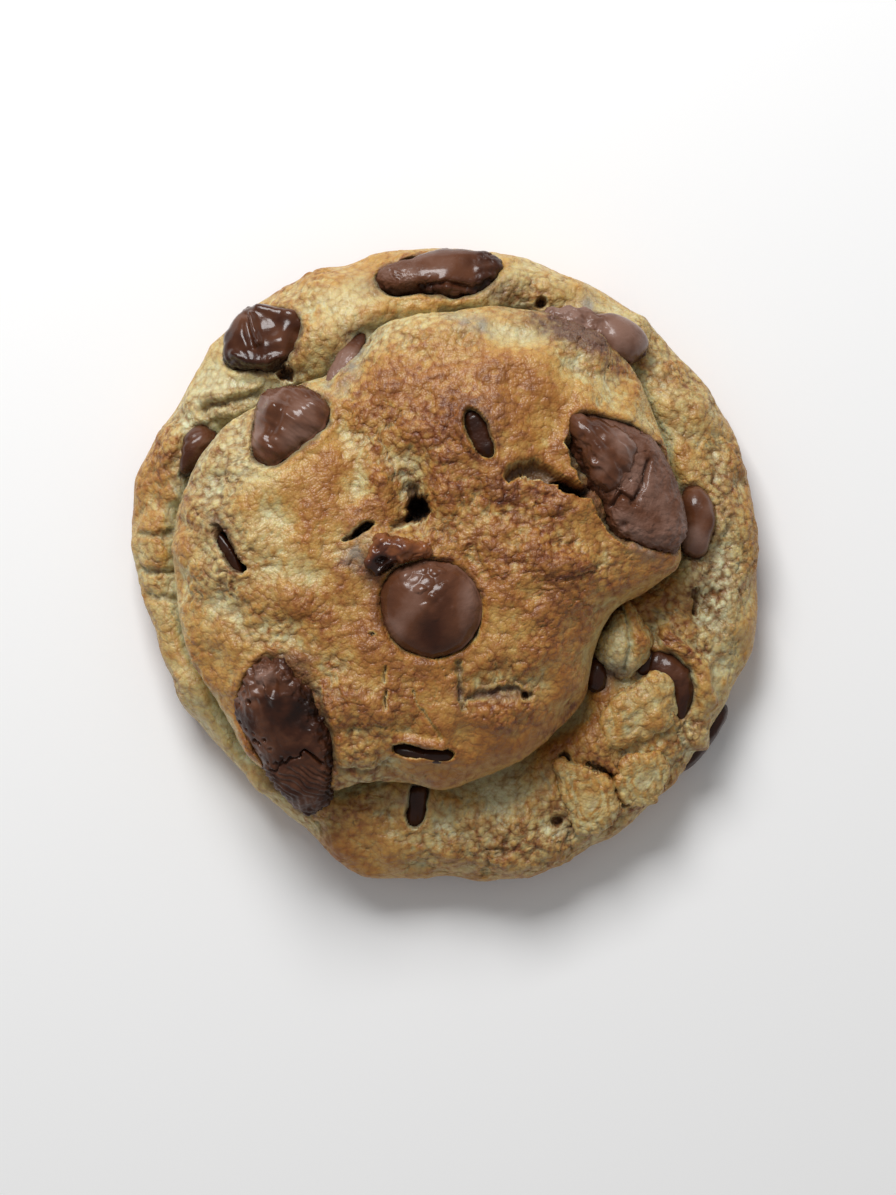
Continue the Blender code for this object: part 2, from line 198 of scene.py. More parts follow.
CENTRE = Chip(-1.6, -5.3, 0, (6.4, 6.2, 5.9, 5.7, 5.7, 6, 6.4, 6.5, 6.4, 6.4, 6.5, 6.5, 6.6, 6.5, 6.6, 6.5), 4.3,
    3.4)
LEFT_SHOULDER = Chip(-18.8, 16.8, 0, (4.7, 5.4, 5.3, 5.1, 5.1, 5.3, 5.5, 4.9, 4.9, 5.5, 6.4, 5.8, 4.1, 3.4, 3.4,
    3.8), 3.3, 1.5, 22)
UPPER_LEFT = Chip(-22.6, 28, 0, (5, 5.5, 4.9, 4.4, 4.4, 4.6, 4.6, 4.6, 4.9, 5.5, 5.4, 4.5, 4.2, 4.6, 4.6, 4.7), 3.3,
    2.2, 20, False)
TOP_EDGE = Chip(-0.9, 35.4, 0, (7.5, 8.1, 5.7, 4.4, 3.7, 3.5, 3.6, 3.9, 4.7, 6.5, 8.1, 6.1, 3.2, 2.5, 2.3, 2.3, 2.6,
    3.4, 4.1, 5.6), 3.1, 0.7, 24, False)
SLIVER = Chip(-11.9, 25.2, 62, (4, 2.6, 1.6, 1.4, 1.5, 2.2, 4.7, 2, 1.2, 1, 1.1, 1.8), 1, 0.25, 34)
LEFT_CREASE = Chip(-31.2, 13.9, 62, (3.6, 3.1, 2.2, 1.7, 1.6, 1.9, 3.5, 2.3, 2, 1.9, 2, 3.1), 2.7, 1.9, 14, False)
SLOT = Chip(4.3, 15.8, -62, (3.4, 1.8, 1.3, 1.2, 1.4, 2.1, 3.1, 2.2, 1.6, 1.5, 1.7, 2.7), 1.5, -0.7)
RIGHT_PLATE = Chip(22.4, 9.7, -54, (10.1, 9.1, 7.4, 6.6, 6.1, 6.1, 6.4, 6.8, 7.5, 8.6, 10.4, 8.9, 6.4, 5.1, 4.6,
    4.5, 4.9, 6.1, 7.1, 8.6), 3.4, 1.1, 24)
RIGHT_PETAL = Chip(18.8, 13, -54, (4.5, 4.5, 4.6, 4.6, 4.2, 4.2, 4.5, 5.2, 6.1, 3.6, 2.5, 2.1, 2, 2.4, 3.2, 4.8), 3,
    2.3, 18)
RIGHT_CREASE = Chip(31.7, 5.2, 93, (4.6, 4, 2.7, 2.4, 2.7, 4.3, 4.5, 2.9, 2.3, 2.2, 2.5, 3.3), 2.9, 2.6, 10, False)
LOWER_LEFT = Chip(-19.4, -21, -77, (10.9, 9.7, 7.5, 6.6, 6, 5.7, 5.9, 6.7, 8.1, 9.6, 10, 8.9, 7.7, 6.7, 5.5, 4.8,
    4.6, 4.9, 6.3, 8.6), 3.9, 1, 36)
SMILE = Chip(-2.6, -23.2, -8, (3.8, 1.4, 0.7, 0.6, 0.7, 1.4, 3.8, 1.5, 0.8, 0.7, 0.8, 1.5), 1.5, -0.3, 30)
LEFT_PIT = Chip(-26.3, 1.2, -57, (2.9, 1.6, 0.9, 0.8, 0.9, 1.6, 2.9, 1.6, 0.9, 0.8, 0.9, 1.6), 1.4, -0.7, 20)
UPPER_RIGHT = Chip(18.9, 28.8, -12, (6.6, 4.6, 3.2, 2.5, 2.2, 2.3, 2.9, 4.9, 7.6, 5.5, 4.2, 3.8, 3.7, 4, 4.9, 6.2),
    3.4, 4.6, 32, False)
PIT_LEFT = Chip(18.9, -14, 100, (2.1, 1.9, 1.6, 1.5, 1.6, 1.9, 2.1, 1.9, 1.6, 1.5, 1.6, 1.9), 1.5, 1.6, 0, False)
PIT_RIGHT = Chip(25.6, -12.6, 40, (1.9, 1.8, 1.6, 1.5, 1.6, 1.8, 1.9, 1.8, 1.6, 1.5, 1.6, 1.8), 1.5, 0.4, 0, False)
RIBBON = Chip(29.4, -14.3, 0, (1.5, 1.5, 1.7, 1.8, 2.3, 3.5, 4.6, 4.7, 3.6, 2.1, 2.1, 2.8, 5.4, 3.9, 2.5, 1.9), 2.4,
    1.1, 8, False)
BOTTOM_SLOT = Chip(-3.5, -30.6, 80, (3, 2.4, 1.4, 1.2, 1.3, 1.9, 2.6, 1.9, 1.3, 1.2, 1.3, 2.2), 1.6, -0.5, 14,
    False)
SIDE = Chip(32.7, -22, 56, (5.2, 2.7, 1.7, 1.5, 1.7, 2.7, 5.2, 2.7, 1.7, 1.5, 1.7, 2.7), 1.5, -0.85, 78, False)
CROWN_CHIPS = (CENTRE, LEFT_SHOULDER, SLOT, RIGHT_PLATE, LOWER_LEFT, SMILE, LEFT_PIT)
# Lumps and torn flakes of dough that lie on the skirt, measured as the chips are.
NUB = Chip(22.6, -9.8, 0, (3.3, 3, 3.1, 4, 5, 3.8, 2.8, 2.8, 3.2, 3.7, 4.1, 4.3, 4.6, 3.9, 3.4, 3.1), 4.4, 3.6, 0,
    False)
LOBE = Chip(24.5, -18.2, 0, (4.7, 4.8, 4.8, 5.8, 5.4, 4.2, 3.3, 3, 2.9, 3, 3.4, 4, 4.6, 5.8, 6.7, 6.6, 5.7, 4.8,
    4.2, 3.8, 3.6, 3.9, 4.3, 4.4), 2.8, 1.4, 10, False)
FLAKE_INNER = Chip(17.8, -28.6, 0, (3.4, 3.3, 3.1, 3.2, 2.9, 2.8, 3.3, 3.6, 4.3, 5.8, 4.2, 3.5, 3.3, 3.2, 3.1, 3.2,
    3.9, 4.9, 5.3, 5.3, 5.1, 4.9, 4.4, 3.7), 1.9, 0.8, 13, False)
FLAKE_OUTER = Chip(24.6, -26.4, 0, (3.3, 3.5, 3.5, 3.6, 3.7, 3.1, 2.9, 2.9, 3, 3.1, 3.1, 2.9, 3.1, 3.7, 3.7, 3.9, 4,
    4, 4, 3.7, 3.5, 3.3, 3.2, 3.2), 1.9, 0.6, 18, False)
SKIRT_CHIPS = (UPPER_LEFT, TOP_EDGE, LEFT_CREASE, RIGHT_CREASE, UPPER_RIGHT, PIT_LEFT, PIT_RIGHT, RIBBON, BOTTOM_SLOT,
               LOWER_LEFT)

# The lump of melted sugar above the centre chip.
CARAMEL = Chip(-5.9, 1.5, 0, (4.1, 2.6, 1.9, 1.6, 1.6, 1.6, 1.8, 2.1, 2.6, 2.9, 3.1, 3.8, 4.1, 3.8, 2.4, 1.5, 1.4,
    1.5, 1.9, 3), 1.7, 1.4, 0)
# How far round a chip's form is carried past its widest, before it is closed below.
UNDER_SLOPE = 0.66 * math.pi

# Where chocolate sits in the dough: the width of the gap round it, the same for a piece that lies sunk in the dough,
# and the height of the raised lip at its edge.
GAP = 0.02
SUNK_GAP = 0.22
LIP = 0.3

# How wide the crumb's features are: florets, beads, plates and flakes on the dough, then the scallops and beads of its
# small bodies.
FLORET_SIZE = 2.6
BEAD_SIZE = 1.1
PLATE_SIZE = 5.0
FLAKE_SIZE = 2.3
SCALLOP_SIZE = 1.15
FINE_BEAD_SIZE = 0.7

# Places where the surface is torn to coarse crumb.
TORN_PLACES = swells(
    (9, 7.4, 1.1, 5.4, 3, -8), (-3, 9, 0.75, 7, 6.5, 20), (-1, 16.5, 0.6, 7, 5), (1, 1.5, 0.4, 8, 3),
    (14, -2, 0.45, 7, 8), (9.5, 33.5, 0.9, 4, 2.4), (-19, -7, 0.5, 8, 5), (-27, -3, 0.3, 4, 8),
    (31.5, -11, 0.9, 3.2, 2.2), (19, -28, 0.7, 8, 6, 20), (6, -35, 0.9, 11, 4), (-10, -26, 0.4, 4, 6),
    (33.5, -5, 0.9, 2.4, 4.6), (-27, 20, 0.5, 5, 3, 30), (-36, 2, 0.4, 2.4, 10), (34, 9, 0.6, 2.5, 4),
    (30, 18, 0.5, 3, 5), (29, -20, 0.7, 5, 4),
)

# How baked the dough is on the whole, from 0 to 1. Browner places are positive, paler ones negative.
CROWN_BROWNING = 0.47
SKIRT_PALER = 0.3
# Strides, in points of the grid, that soften a surface over a narrow and over a wide neighbourhood.
NARROW = (1, 2)
WIDE = (2, 4, 8, 12)
# Mostly baking: the row at (-15, -6) is painted shade left of the centre chip; pale upper left rows are partly painted
# sheen.
BAKED_AND_PAINTED_LIGHT_PLACES = swells(
    (2, 22, 0.2, 12, 5, -8), (13, -5, 0.22, 9, 9, -30), (4, -21, 0.2, 13, 5), (11, 9, 0.1, 6, 4),
    (-25, 7.5, 0.3, 2.4, 2.2), (-15, -6, 0.2, 7, 3.6, -10), (-17.5, 7.5, 0.24, 5, 4.4), (2, 20, 0.08, 14, 7, -8),
    (9, 7, 0.16, 6, 5), (-36.5, 9, 0.2, 2.6, 7), (18, -27, 0.12, 8, 5), (-2, -31, 0.12, 9, 4),
    (-22, 4, -0.14, 10, 18), (-28, -7, -0.16, 4, 8), (17, -23, -0.2, 6, 3, 40), (-19, 20, -0.34, 9, 6, 45),
    (-27, 11, -0.26, 5, 9, 15), (-29, 6, -0.22, 3.4, 9, 10), (-16, 18, -0.12, 7, 7),
    (-4, 8.4, -0.24, 4.6, 3.2, -66), (-8.5, 2.4, -0.3, 3.6, 2.2, -20), (0, 29, -0.36, 16, 3),
    (-10, 26, -0.2, 5, 3, 20), (17, 23, -0.22, 6, 4, -30), (21, 1, -0.14, 4, 4), (25, 14, -0.2, 4, 9, 20),
    (12, 26, -0.12, 6, 4, -20), (21.6, -10.6, -0.4, 2.4, 5), (24.5, -9.4, 0.3, 1.5, 3.4, 10), (27, -19, 0.1, 4, 4),
    (-9, -26, -0.34, 5, 4), (33.6, -4.4, -0.65, 1.4, 2.4), (38.8, 4, 0.2, 1.8, 16), (0, -38, 0.22, 18, 3),
    (-13, -35, 0.2, 7, 5, 30), (-28, 21, -0.12, 7, 3, 40), (-13, 31.5, -0.2, 7, 3.4, 20),
    (-8, 37.5, 0.2, 9, 1.6, 8), (-23, 10, -0.22, 5, 5), (35, -8, -0.2, 3, 9), (4, -11, -0.1, 5, 4),
    (-5, -14, 0.12, 6, 4), (10, 34.5, -0.3, 5, 2.6),
)

# Chocolate smeared into the dough.
SMEARS = swells(
    (-7.4, 0.2, 0.9, 2.6, 1.5, -30), (-9, -2.6, 0.7, 0.9, 2), (2, -15, 0.7, 0.7, 3.2),
    (6.6, -16.1, 0.85, 4.4, 0.7, -2), (14.6, 29.4, 1.1, 4.6, 1.9, -14), (18.6, 27, 0.9, 4, 1.6, -24),
    (-27.6, 3.9, 0.8, 1, 2.4, 30), (20.4, -14, 0.8, 2.2, 1, 4), (15.3, -31.7, 0.6, 0.8, 0.8),
    (-18.6, -12, 0.7, 2.6, 1.2), (5.6, 34.6, 0.6, 3, 1.6, -20), (-9, 34.6, 0.45, 2.4, 1.6),
)
# Chocolate close under the dough, grey through it, and one row, at (-4.8, 9.6), of grey painted shade on the upper
# left wall of the hollow by the centre hole.
BLOOMS_AND_SHADE = swells(
    (18.3, 32.3, 0.9, 1.2, 1.5), (3.4, 29.1, 0.8, 2.6, 1.2, -15), (-10.6, 1.4, 0.8, 1.5, 2.4, -20),
    (-12.2, 24.6, 0.8, 4.2, 1.7, 62), (5.3, 16.6, 0.55, 2.2, 0.8, -62), (-4.8, 9.6, 0.2, 2.8, 1.2, -66),
    (-3.6, -28.6, 0.7, 2, 1.8), (-32.4, 10.6, 0.5, 1.4, 3.4, -20), (20.6, -13.6, 0.6, 2.6, 1.6, 4),
    (24, 2.6, 0.7, 3, 1.2, -50),
)

# Half the width of the pale floor, in metres.
FLOOR_HALF = 3.0
# The view: straight down from the height at which a phone is held, a little below the cookie's middle.
CAMERA_PLACE = (0.44, -4.3, 450.0)
CAMERA_LENS = 141.0
WINDOW_AZIMUTH = 107
WINDOW_ELEVATION = 47
WINDOW_DISTANCE = 0.52
WINDOW_SIDE = 0.23
WINDOW_POWER = 2.5
ROOM_LIGHT = 0.3


def lattice_random(cell, seed):
    """A fixed random number from 0 to 1 for each whole-number cell: its three indices and the seed, mixed as bits."""
    mixed = np.full(cell.shape[:-1], seed * 2654435761 % 2**32, np.uint32)
    for axis, factor in enumerate((0x8DA6B343, 0xD8163841, 0xCB1AB31F)):
        mixed ^= cell[..., axis].astype(np.uint32) * np.uint32(factor)
        mixed ^= mixed >> np.uint32(15)
        mixed *= np.uint32(0x2C1B3C6D)
        mixed ^= mixed >> np.uint32(12)
    return mixed / 2**32


def soft_noise(points, size, seed):
    """Noise from -1 to 1: random values at the corners of cells of that size, blended by a quintic curve."""
    place = points / size
    corner = np.floor(place)
    blend = place - corner
    blend = blend**3 * (blend * (blend * 6 - 15) + 10)
    corner = corner.astype(np.int64)
    total = np.zeros(points.shape[:-1])
    for step in np.ndindex(2, 2, 2):
        share = np.prod(np.where(step, blend, 1 - blend), axis=-1)
        total += share * lattice_random(corner + step, seed)
    return 2 * total - 1


def layered_noise(points, size, seed, layers=3):
    """Soft noise in layers, each of half the size and a little over half the height of the one before."""
    return sum(0.55**k * soft_noise(points, size / 2**k, seed + 7 * k) for k in range(layers))


def crumbs(points, size, seed):
    """Distance to the nearest and to the second nearest of one random point per cell, in cells,
    and a random number that belongs to the nearest."""
    place = points / size
    cell = np.floor(place).astype(np.int64)
    nearest = np.full(points.shape[:-1], 9.0)
    second = nearest.copy()
    tone = np.zeros(points.shape[:-1])
    for step in np.ndindex(3, 3, 3):
        near_cell = cell + np.array(step) - 1
        spot = [near_cell[..., k] + lattice_random(near_cell, seed + k) for k in range(3)]
        gap = np.sqrt(sum((place[..., k] - spot[k]) ** 2 for k in range(3)))
        closer = gap < nearest
        second = np.where(closer, nearest, np.minimum(second, gap))
        tone = np.where(closer, lattice_random(near_cell, seed + 3), tone)
        nearest = np.where(closer, gap, nearest)
    return nearest, second, tone


def ramp(value, low, high):
    """0 at low and 1 at high, with a smooth start and end."""
    t = np.clip((value - low) / (high - low), 0.0, 1.0)
    return t * t * (3 - 2 * t)


def fade(value, width):
    """1 at 0, falling smoothly to 0 at the width."""
    return 1 - ramp(value, 0.0, width)


def cap(near, wide=1.0):
    """A parabola that is 1 at 0 and ends at the width."""
    return np.clip(1 - (near / wide) ** 2, 0, 1)


def rounded(near, wide=0.85):
    """Height of a round bead, from 0 to 1, at a distance from its middle: the root of the parabola."""
    return np.sqrt(cap(near, wide))


def bell_over(value, middle, width):
    """A bell over one value: 1 at its middle."""
    return np.exp(-(((value - middle) / width) ** 2))


def shift(points, size, seed, layers=2):
    """Three layered noises as one shift of each point."""
    return np.stack([layered_noise(points, size, seed + k, layers) for k in range(3)], -1)


def outline_radius(radii, angle):
    """Radius of an outline at an angle: a closed Catmull-Rom curve through evenly spaced radii."""
    count = len(radii)
    place = (angle / math.tau * count) % count
    step = np.floor(place).astype(int)
    t = place - step
    before, start, end, after = (np.take(radii, step + k, mode="wrap") for k in (-1, 0, 1, 2))
    bend = 3 * (start - end) + after - before
    return start + 0.5 * t * (end - before + t * (2 * before - 5 * start + 4 * end - after + t * bend))


def turned(x, y, feature):
    """Place along and across a feature's long axis, measured from its middle."""
    turn = math.radians(feature.turn)
    along = (x - feature.x) * math.cos(turn) + (y - feature.y) * math.sin(turn)
    across = (y - feature.y) * math.cos(turn) - (x - feature.x) * math.sin(turn)
    return along, across


def bell(x, y, swell):
    """A bell that is 1 in the swell's middle and falls off along its long and its wide axis."""
    along, across = turned(x, y, swell)
    return np.exp(-((along / swell.long) ** 2 + (across / swell.wide) ** 2))


def swell_height(swells, x, y):
    """Sum of the swells at a place."""
    return sum(swell.rise * bell(x, y, swell) for swell in swells)


def lump_height(points):
    """Gentle unevenness: a sum of seeded waves of mixed direction and length."""
    draw = np.random.default_rng(LUMP_SEED)
    total = np.zeros(points.shape[:-1])
    for _ in range(LUMP_WAVES):
        way = draw.normal(size=3)
        way *= math.tau / (np.linalg.norm(way) * draw.uniform(LUMP_SHORTEST, LUMP_LONGEST))
        total += np.sin(points @ way + draw.uniform(0, math.tau))
    return total * LUMP_HEIGHT / math.sqrt(LUMP_WAVES / 2)


def crown_height(x, y):
    """Height of the crown's top at a place: a superellipse from the middle to the outline, plus its swells."""
    edge = outline_radius(CROWN_RADII, np.arctan2(y, x))
    reach = np.minimum(np.hypot(x, y) / edge, 1.0)
    dome = (1 - reach**CROWN_SQUARENESS) ** (1 / CROWN_SQUARENESS)
    return CROWN_WIDEST + (CROWN_RISE + swell_height(CROWN_SWELLS, x, y)) * dome


def skirt_height(x, y):
    """Height of the skirt's top at a place: flat inside the shoulder, rounded down towards the rim."""
    rim = outline_radius(RIM_RADII, np.arctan2(y, x))
    out = np.clip((np.hypot(x, y) - rim + SHOULDER_WIDTH) / SHOULDER_WIDTH, 0.0, 1.0)
    fall = (1 - out**SKIRT_SQUARENESS) ** (1 / SKIRT_SQUARENESS)
    return RIM_HEIGHT + (SKIRT_TOP - RIM_HEIGHT + swell_height(SKIRT_SWELLS, x, y)) * fall


def disc_grid(count):
    """A square grid laid over a disc, each square ring of it a circle: the reach from 0 to 1, and the angle."""
    side = np.linspace(-1, 1, count)
    a, b = np.meshgrid(side, side, indexing="ij")
    flat = np.abs(a) > np.abs(b)
    long = np.where(flat, a, b)
    short = np.where(flat, b, a)
    share = np.divide(short, long, out=np.zeros_like(long), where=long != 0) * math.pi / 4
    angle = np.where(flat, share, math.pi / 2 - share) + np.where(long < 0, math.pi, 0)
    return np.abs(long), angle


def grid_normals(points, wrap=False):
    """Unit normals of a grid surface: the cross product of its two directions, by central differences."""
    if wrap:
        first = np.roll(points, -1, 0) - np.roll(points, 1, 0)
    else:
        first = np.gradient(points, axis=0)
    normal = np.cross(first, np.gradient(points, axis=1))
    return normal / np.maximum(np.linalg.norm(normal, axis=-1, keepdims=True), 1e-9)


def grid_quads(rows, columns, wrap=False):
    """Corner indices of a grid's quads, seen anticlockwise with rows along the first direction."""
    index = np.arange(rows * columns).reshape(rows, columns)
    nxt = np.roll(index, -1, 0) if wrap else index[1:]
    here = index if wrap else index[:-1]
    return np.stack([here[:, :-1], nxt[:, :-1], nxt[:, 1:], here[:, 1:]], -1).reshape(-1, 4)


def fan(ring, hub):
    """Triangles from a closed ring of indices to one hub index."""
    return np.stack([np.roll(ring, -1), ring, np.full(len(ring), hub)], -1)


def square_border(count):
    """Indices round the border of a square grid, anticlockwise."""
    index = np.arange(count * count).reshape(count, count)
    return np.concatenate([index[:-1, 0], index[-1, :-1], index[:0:-1, -1], index[0, :0:-1]])


def close_disc(name, points, finish, nodes, marks, hub=None):
    """A piece from a disc grid: its border is closed to a hub, which is the border's middle unless it is given."""
    count = len(points)
    border = square_border(count)
    flat = points.reshape(-1, 3)
    flat = np.vstack([flat, flat[border].mean(0) if hub is None else hub])
    marks = {mark: np.append(values.ravel(), HUB_MARK) for mark, values in marks.items()}
    return mesh_piece(name, flat, grid_quads(count, count), fan(border, count * count), finish, nodes, marks)


def linked(name, data):
    """A new object in the scene."""
    made = bpy.data.objects.new(name, data)
    bpy.context.collection.objects.link(made)
    return made


def mesh_piece(name, points, quads, triangles, finish, nodes, marks):
    """A named piece from points in millimetres, with its finish, its marks as attributes, riding on the cookie."""
    mesh = bpy.data.meshes.new(name)
    mesh.vertices.add(len(points))
    mesh.vertices.foreach_set("co", (points * MM).astype(np.float32).ravel())
    loops = np.concatenate([quads.ravel(), triangles.ravel()])
    starts = np.concatenate([np.arange(len(quads)) * 4, len(quads) * 4 + np.arange(len(triangles)) * 3])
    mesh.loops.add(len(loops))
    mesh.loops.foreach_set("vertex_index", loops.astype(np.int32))
    mesh.polygons.add(len(starts))
    mesh.polygons.foreach_set("loop_start", starts.astype(np.int32))
    mesh.update(calc_edges=True)
    mesh.validate()
    mesh.shade_smooth()
    for mark, values in marks.items():
        attribute = mesh.attributes.new(mark, "FLOAT", "POINT")
        attribute.data.foreach_set("value", values.astype(np.float32))
    mesh.materials.append(finish)
    piece = linked(name, mesh)
    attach(piece, "root")
    if nodes:
        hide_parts(*nodes)
    return piece


def path_distance(x, y, path):
    """Distance to the nearest segment of a path."""
    nearest = np.full(x.shape, np.inf)
    for (x0, y0), (x1, y1) in zip(path[:-1], path[1:], strict=True):
        dx, dy = x1 - x0, y1 - y0
        share = np.clip(((x - x0) * dx + (y - y0) * dy) / (dx * dx + dy * dy), 0, 1)
        nearest = np.minimum(nearest, np.hypot(x - x0 - share * dx, y - y0 - share * dy))
    return nearest


def groove_depth(grooves, points):
    """Depth of all grooves at a place: each is a steep trough along its wobbling path, narrowing to its ends."""
    total = np.zeros(points.shape[:-1])
    for number, groove in enumerate(grooves):
        wobble = groove.ragged * layered_noise(points, 1.4, 300 + number, 2)
        drift = groove.ragged * layered_noise(points, 1.4, 400 + number, 2)
        away = path_distance(points[..., 0] + wobble, points[..., 1] + drift, groove.path)
        share = away / groove.reach
        total += groove.depth * (1 - ramp(share, 0.72, 1.12) if groove.depth > 1.5 else np.exp(-(share**4)))
    return total


def pit_depth(pits, points):
    """Depth of all pits at a place: a steep-walled oval whose edge is roughened by noise."""
    total = np.zeros(points.shape[:-1])
    rough = 0.22 * layered_noise(points, 0.9, 77, 2)
    for pit in pits:
        along, across = turned(points[..., 0], points[..., 1], pit)
        total += pit.depth * (1 - ramp(np.hypot(along / pit.long, across / pit.wide) + rough, 0.55, 1.15))
    return total


def chip_gap(chip, x, y):
    """Distance outside a chip's outline, negative inside it."""
    along, across = turned(x, y, chip)
    edge = outline_radius(chip.radii, np.arctan2(across, along))
    away = np.hypot(along, across)
    return (away / edge - 1) * np.minimum(edge, np.maximum(away, 0.5))


def middle_height(chip, x, y):
    """Height of a chip's middle plane at a place: it passes through the chip's middle and falls with its lean."""
    height_of = crown_height if chip.on_crown else skirt_height
    middle = height_of(np.array(chip.x), np.array(chip.y)) + chip.rise - chip.high
    outwards = math.atan2(chip.y, chip.x)
    out = (x - chip.x) * math.cos(outwards) + (y - chip.y) * math.sin(outwards)
    return middle - out * math.tan(math.radians(chip.lean))


def bedding(chips, points):
    """How far the dough is moved round the chips: down to each one's middle plane, and up in a lip at its edge."""
    x, y, z = (points[..., k] for k in range(3))
    pressed = np.zeros(x.shape)
    lip = np.zeros(x.shape)
    waver = 0.14 * layered_noise(points, 1.3, 55, 2)
    for chip in chips:
        away = chip_gap(chip, x, y) + waver
        inside = 1 - ramp(away, -0.8, GAP) if chip.rise > 0 else 1 - ramp(away, -0.25, SUNK_GAP)
        pressed = np.maximum(pressed, inside * np.clip(z - middle_height(chip, x, y) + 0.3, 0, 8))
        lip = np.maximum(lip, LIP * bell_over(away, 0.55, 0.55))
    return lip - pressed


def crumb_relief(points, coarse):
    """The crumb of the baked surface: rolling noise, round beads over all of it, and where coarse is high round
    florets and cracks between plates. Gives the height, how deep in a crack or a gap between beads each point is,
    which is painted as shade, and how much browner or paler its bead is, browner towards floret edges as painted
    shade."""
    drift = shift(points, 2.2, 90, 3)
    rolling = 0.26 * layered_noise(points, 4.2, 5, 3)
    big, next_big, big_tone = crumbs(points + 0.3 * drift, FLORET_SIZE, 21)
    florets = 0.8 * coarse * (rounded(big) * (0.4 + 0.8 * big_tone) - 0.5)
    near, second, tone = crumbs(points + 0.12 * drift, BEAD_SIZE, 51)
    beads = (0.06 + 0.16 * ramp(layered_noise(points, 3.4, 68, 2), -0.4, 0.6) + 0.16 * coarse) \
        * (rounded(near) * (0.5 + tone) - 0.6)
    plate, next_plate, _ = crumbs(points + 0.9 * drift, PLATE_SIZE, 41)
    flake, next_flake, _ = crumbs(points + 0.6 * drift, FLAKE_SIZE, 43)
    broken = ramp(layered_noise(points, 3.0, 66, 3), -0.25, 0.3)
    plates = fade(next_plate - plate, 0.06) * broken * (0.2 + 0.8 * coarse)
    patch = ramp(layered_noise(points, 8.0, 61, 2) + 0.3 * coarse, 0.0, 0.4)
    flakes = fade(next_flake - flake, 0.07) * patch * ramp(layered_noise(points, 1.7, 67, 2), -0.1, 0.35)
    # Gaps between florets and beads join the crack mark, which the dough shader paints as shade.
    gaps = 0.7 * coarse * fade(next_big - big, 0.2)
    gaps += (0.1 + 0.3 * coarse) * fade(second - near, 0.24)
    # Browner towards the edges of florets: painted shade between them. The rest of the tint is random per bead.
    tint = 0.14 * coarse * (0.6 - rounded(big)) + 0.08 * (tone - 0.5)
    return rolling + florets + beads - 0.5 * plates - 0.25 * flakes, 0.8 * plates + 0.6 * flakes + gaps, tint


def coarse_patches(points):
    """Where the surface breaks into cauliflower crumb, from 0 to 1: patches of slow noise and named torn places."""
    slow = ramp(layered_noise(points, 9.0, 71, 2), -0.1, 0.7)
    return np.clip(0.55 * slow + swell_height(TORN_PLACES, points[..., 0], points[..., 1]), 0, 1)


def soften(values, wrap, strides):
    """A grid of values blurred by its neighbours at each of these strides in turn, along both directions."""
    for stride in strides:
        for axis in (0, 1):
            if wrap and axis == 0:
                ahead, behind = np.roll(values, -stride, 0), np.roll(values, stride, 0)
            else:
                size = values.shape[axis]
                ahead = np.take(values, np.minimum(np.arange(size) + stride, size - 1), axis)
                behind = np.take(values, np.maximum(np.arange(size) - stride, 0), axis)
            values = 0.5 * values + 0.25 * (ahead + behind)
    return values


def browning_and_painted_light(points, normals, wrap):
    """How baked the dough is, from 0 pale to 1 brown: slow noise and named places, and more where the surface stands
    out of its softened self, over a wide and over a narrow neighbourhood. One named place is painted shade, and the
    paler ones on the crown's upper left are partly painted sheen."""
    x, y = points[..., 0], points[..., 1]
    slow = 0.12 * layered_noise(points, 11.0, 81, 3)
    places = swell_height(BAKED_AND_PAINTED_LIGHT_PLACES, x, y)
    low_rim = 0.3 * ramp(points[..., 2], 6.0, 1.5)
    narrow = np.sum((points - soften(points, wrap, NARROW)) * normals, -1)
    wide = np.sum((points - soften(points, wrap, WIDE)) * normals, -1)
    stands = np.clip(0.9 * narrow, -0.12, 0.12) + np.clip(0.42 * wide, -0.3, 0.2)
    on_skirt = SKIRT_PALER * ramp(np.hypot(x, y), 24, 31) * ramp(points[..., 2], 15.0, 12.5)
    steep = 0.22 * ramp(normals[..., 2], 0.75, 0.35) * ramp(points[..., 2], 9.0, 12.0)
    return np.clip(CROWN_BROWNING + slow + places + low_rim + stands - on_skirt - steep, 0, 1)


def cocoa_stain(points, chips):
    """Where melted chocolate has stained the dough: a thin ring round each chip and the named smears."""
    x, y = points[..., 0], points[..., 1]
    waver = 0.5 * layered_noise(points, 1.2, 141, 3)
    ring = np.zeros(x.shape)
    for chip in chips:
        ring = np.maximum(ring, 0.7 * ramp(chip_gap(chip, x, y) + waver, 0.25, -0.15))
    return np.clip(np.maximum(ring, swell_height(SMEARS, x, y) * (1 + 1.2 * waver)), 0, 1)


def bloom_and_shade(points):
    """Where chocolate just under the dough shows grey through it, and one place of grey painted shade in the hollow by
    the centre hole.
    """
    grey = swell_height(BLOOMS_AND_SHADE, points[..., 0], points[..., 1])
    return np.clip(grey * (1 + layered_noise(points, 1.2, 145, 3)), 0, 1)


def finish_dough(points, wrap, grooves, pits, chips):
    """Add the relief of the dough to a smooth form: crumb and grooves along the normal, pits and beds downwards."""
    normals = grid_normals(points, wrap)
    coarse = coarse_patches(points)
    crumb, cracked, tint = crumb_relief(points, coarse)
    grooved = groove_depth(grooves, points)
    upper = ramp(normals[..., 2], -0.2, 0.35)
    holes = pit_depth(pits, points) * upper
    bed = bedding(chips, points) * upper
    foot = ramp(points[..., 2], 0.0, 1.2)
    sideways = 0.4 + 0.6 * ramp(normals[..., 2], 0.0, 0.5)
    relief = ((lump_height(points) + crumb) * sideways - grooved * upper) * foot
    formed = points + normals * relief[..., None]
    formed[..., 2] += bed - holes
    # The crumb's tint, with its painted shade between florets, adds to the baked colour.
    brown = browning_and_painted_light(formed, grid_normals(formed, wrap), wrap) + tint
    # Painted shade: darker in cracks, gaps between beads, grooves and pits, the deepest nearly black in the shader.
    dark = 0.75 * np.clip(cracked, 0, 1) + 0.56 * np.clip(grooved, 0, 3) + 0.7 * np.clip(holes, 0, 3)
    return formed, {"browning_and_painted_light": brown, "depth": dark, "cocoa": cocoa_stain(points, chips), "bloom_and_shade": bloom_and_shade(points),
                    "crumbly": 0.12 + 0.88 * coarse}


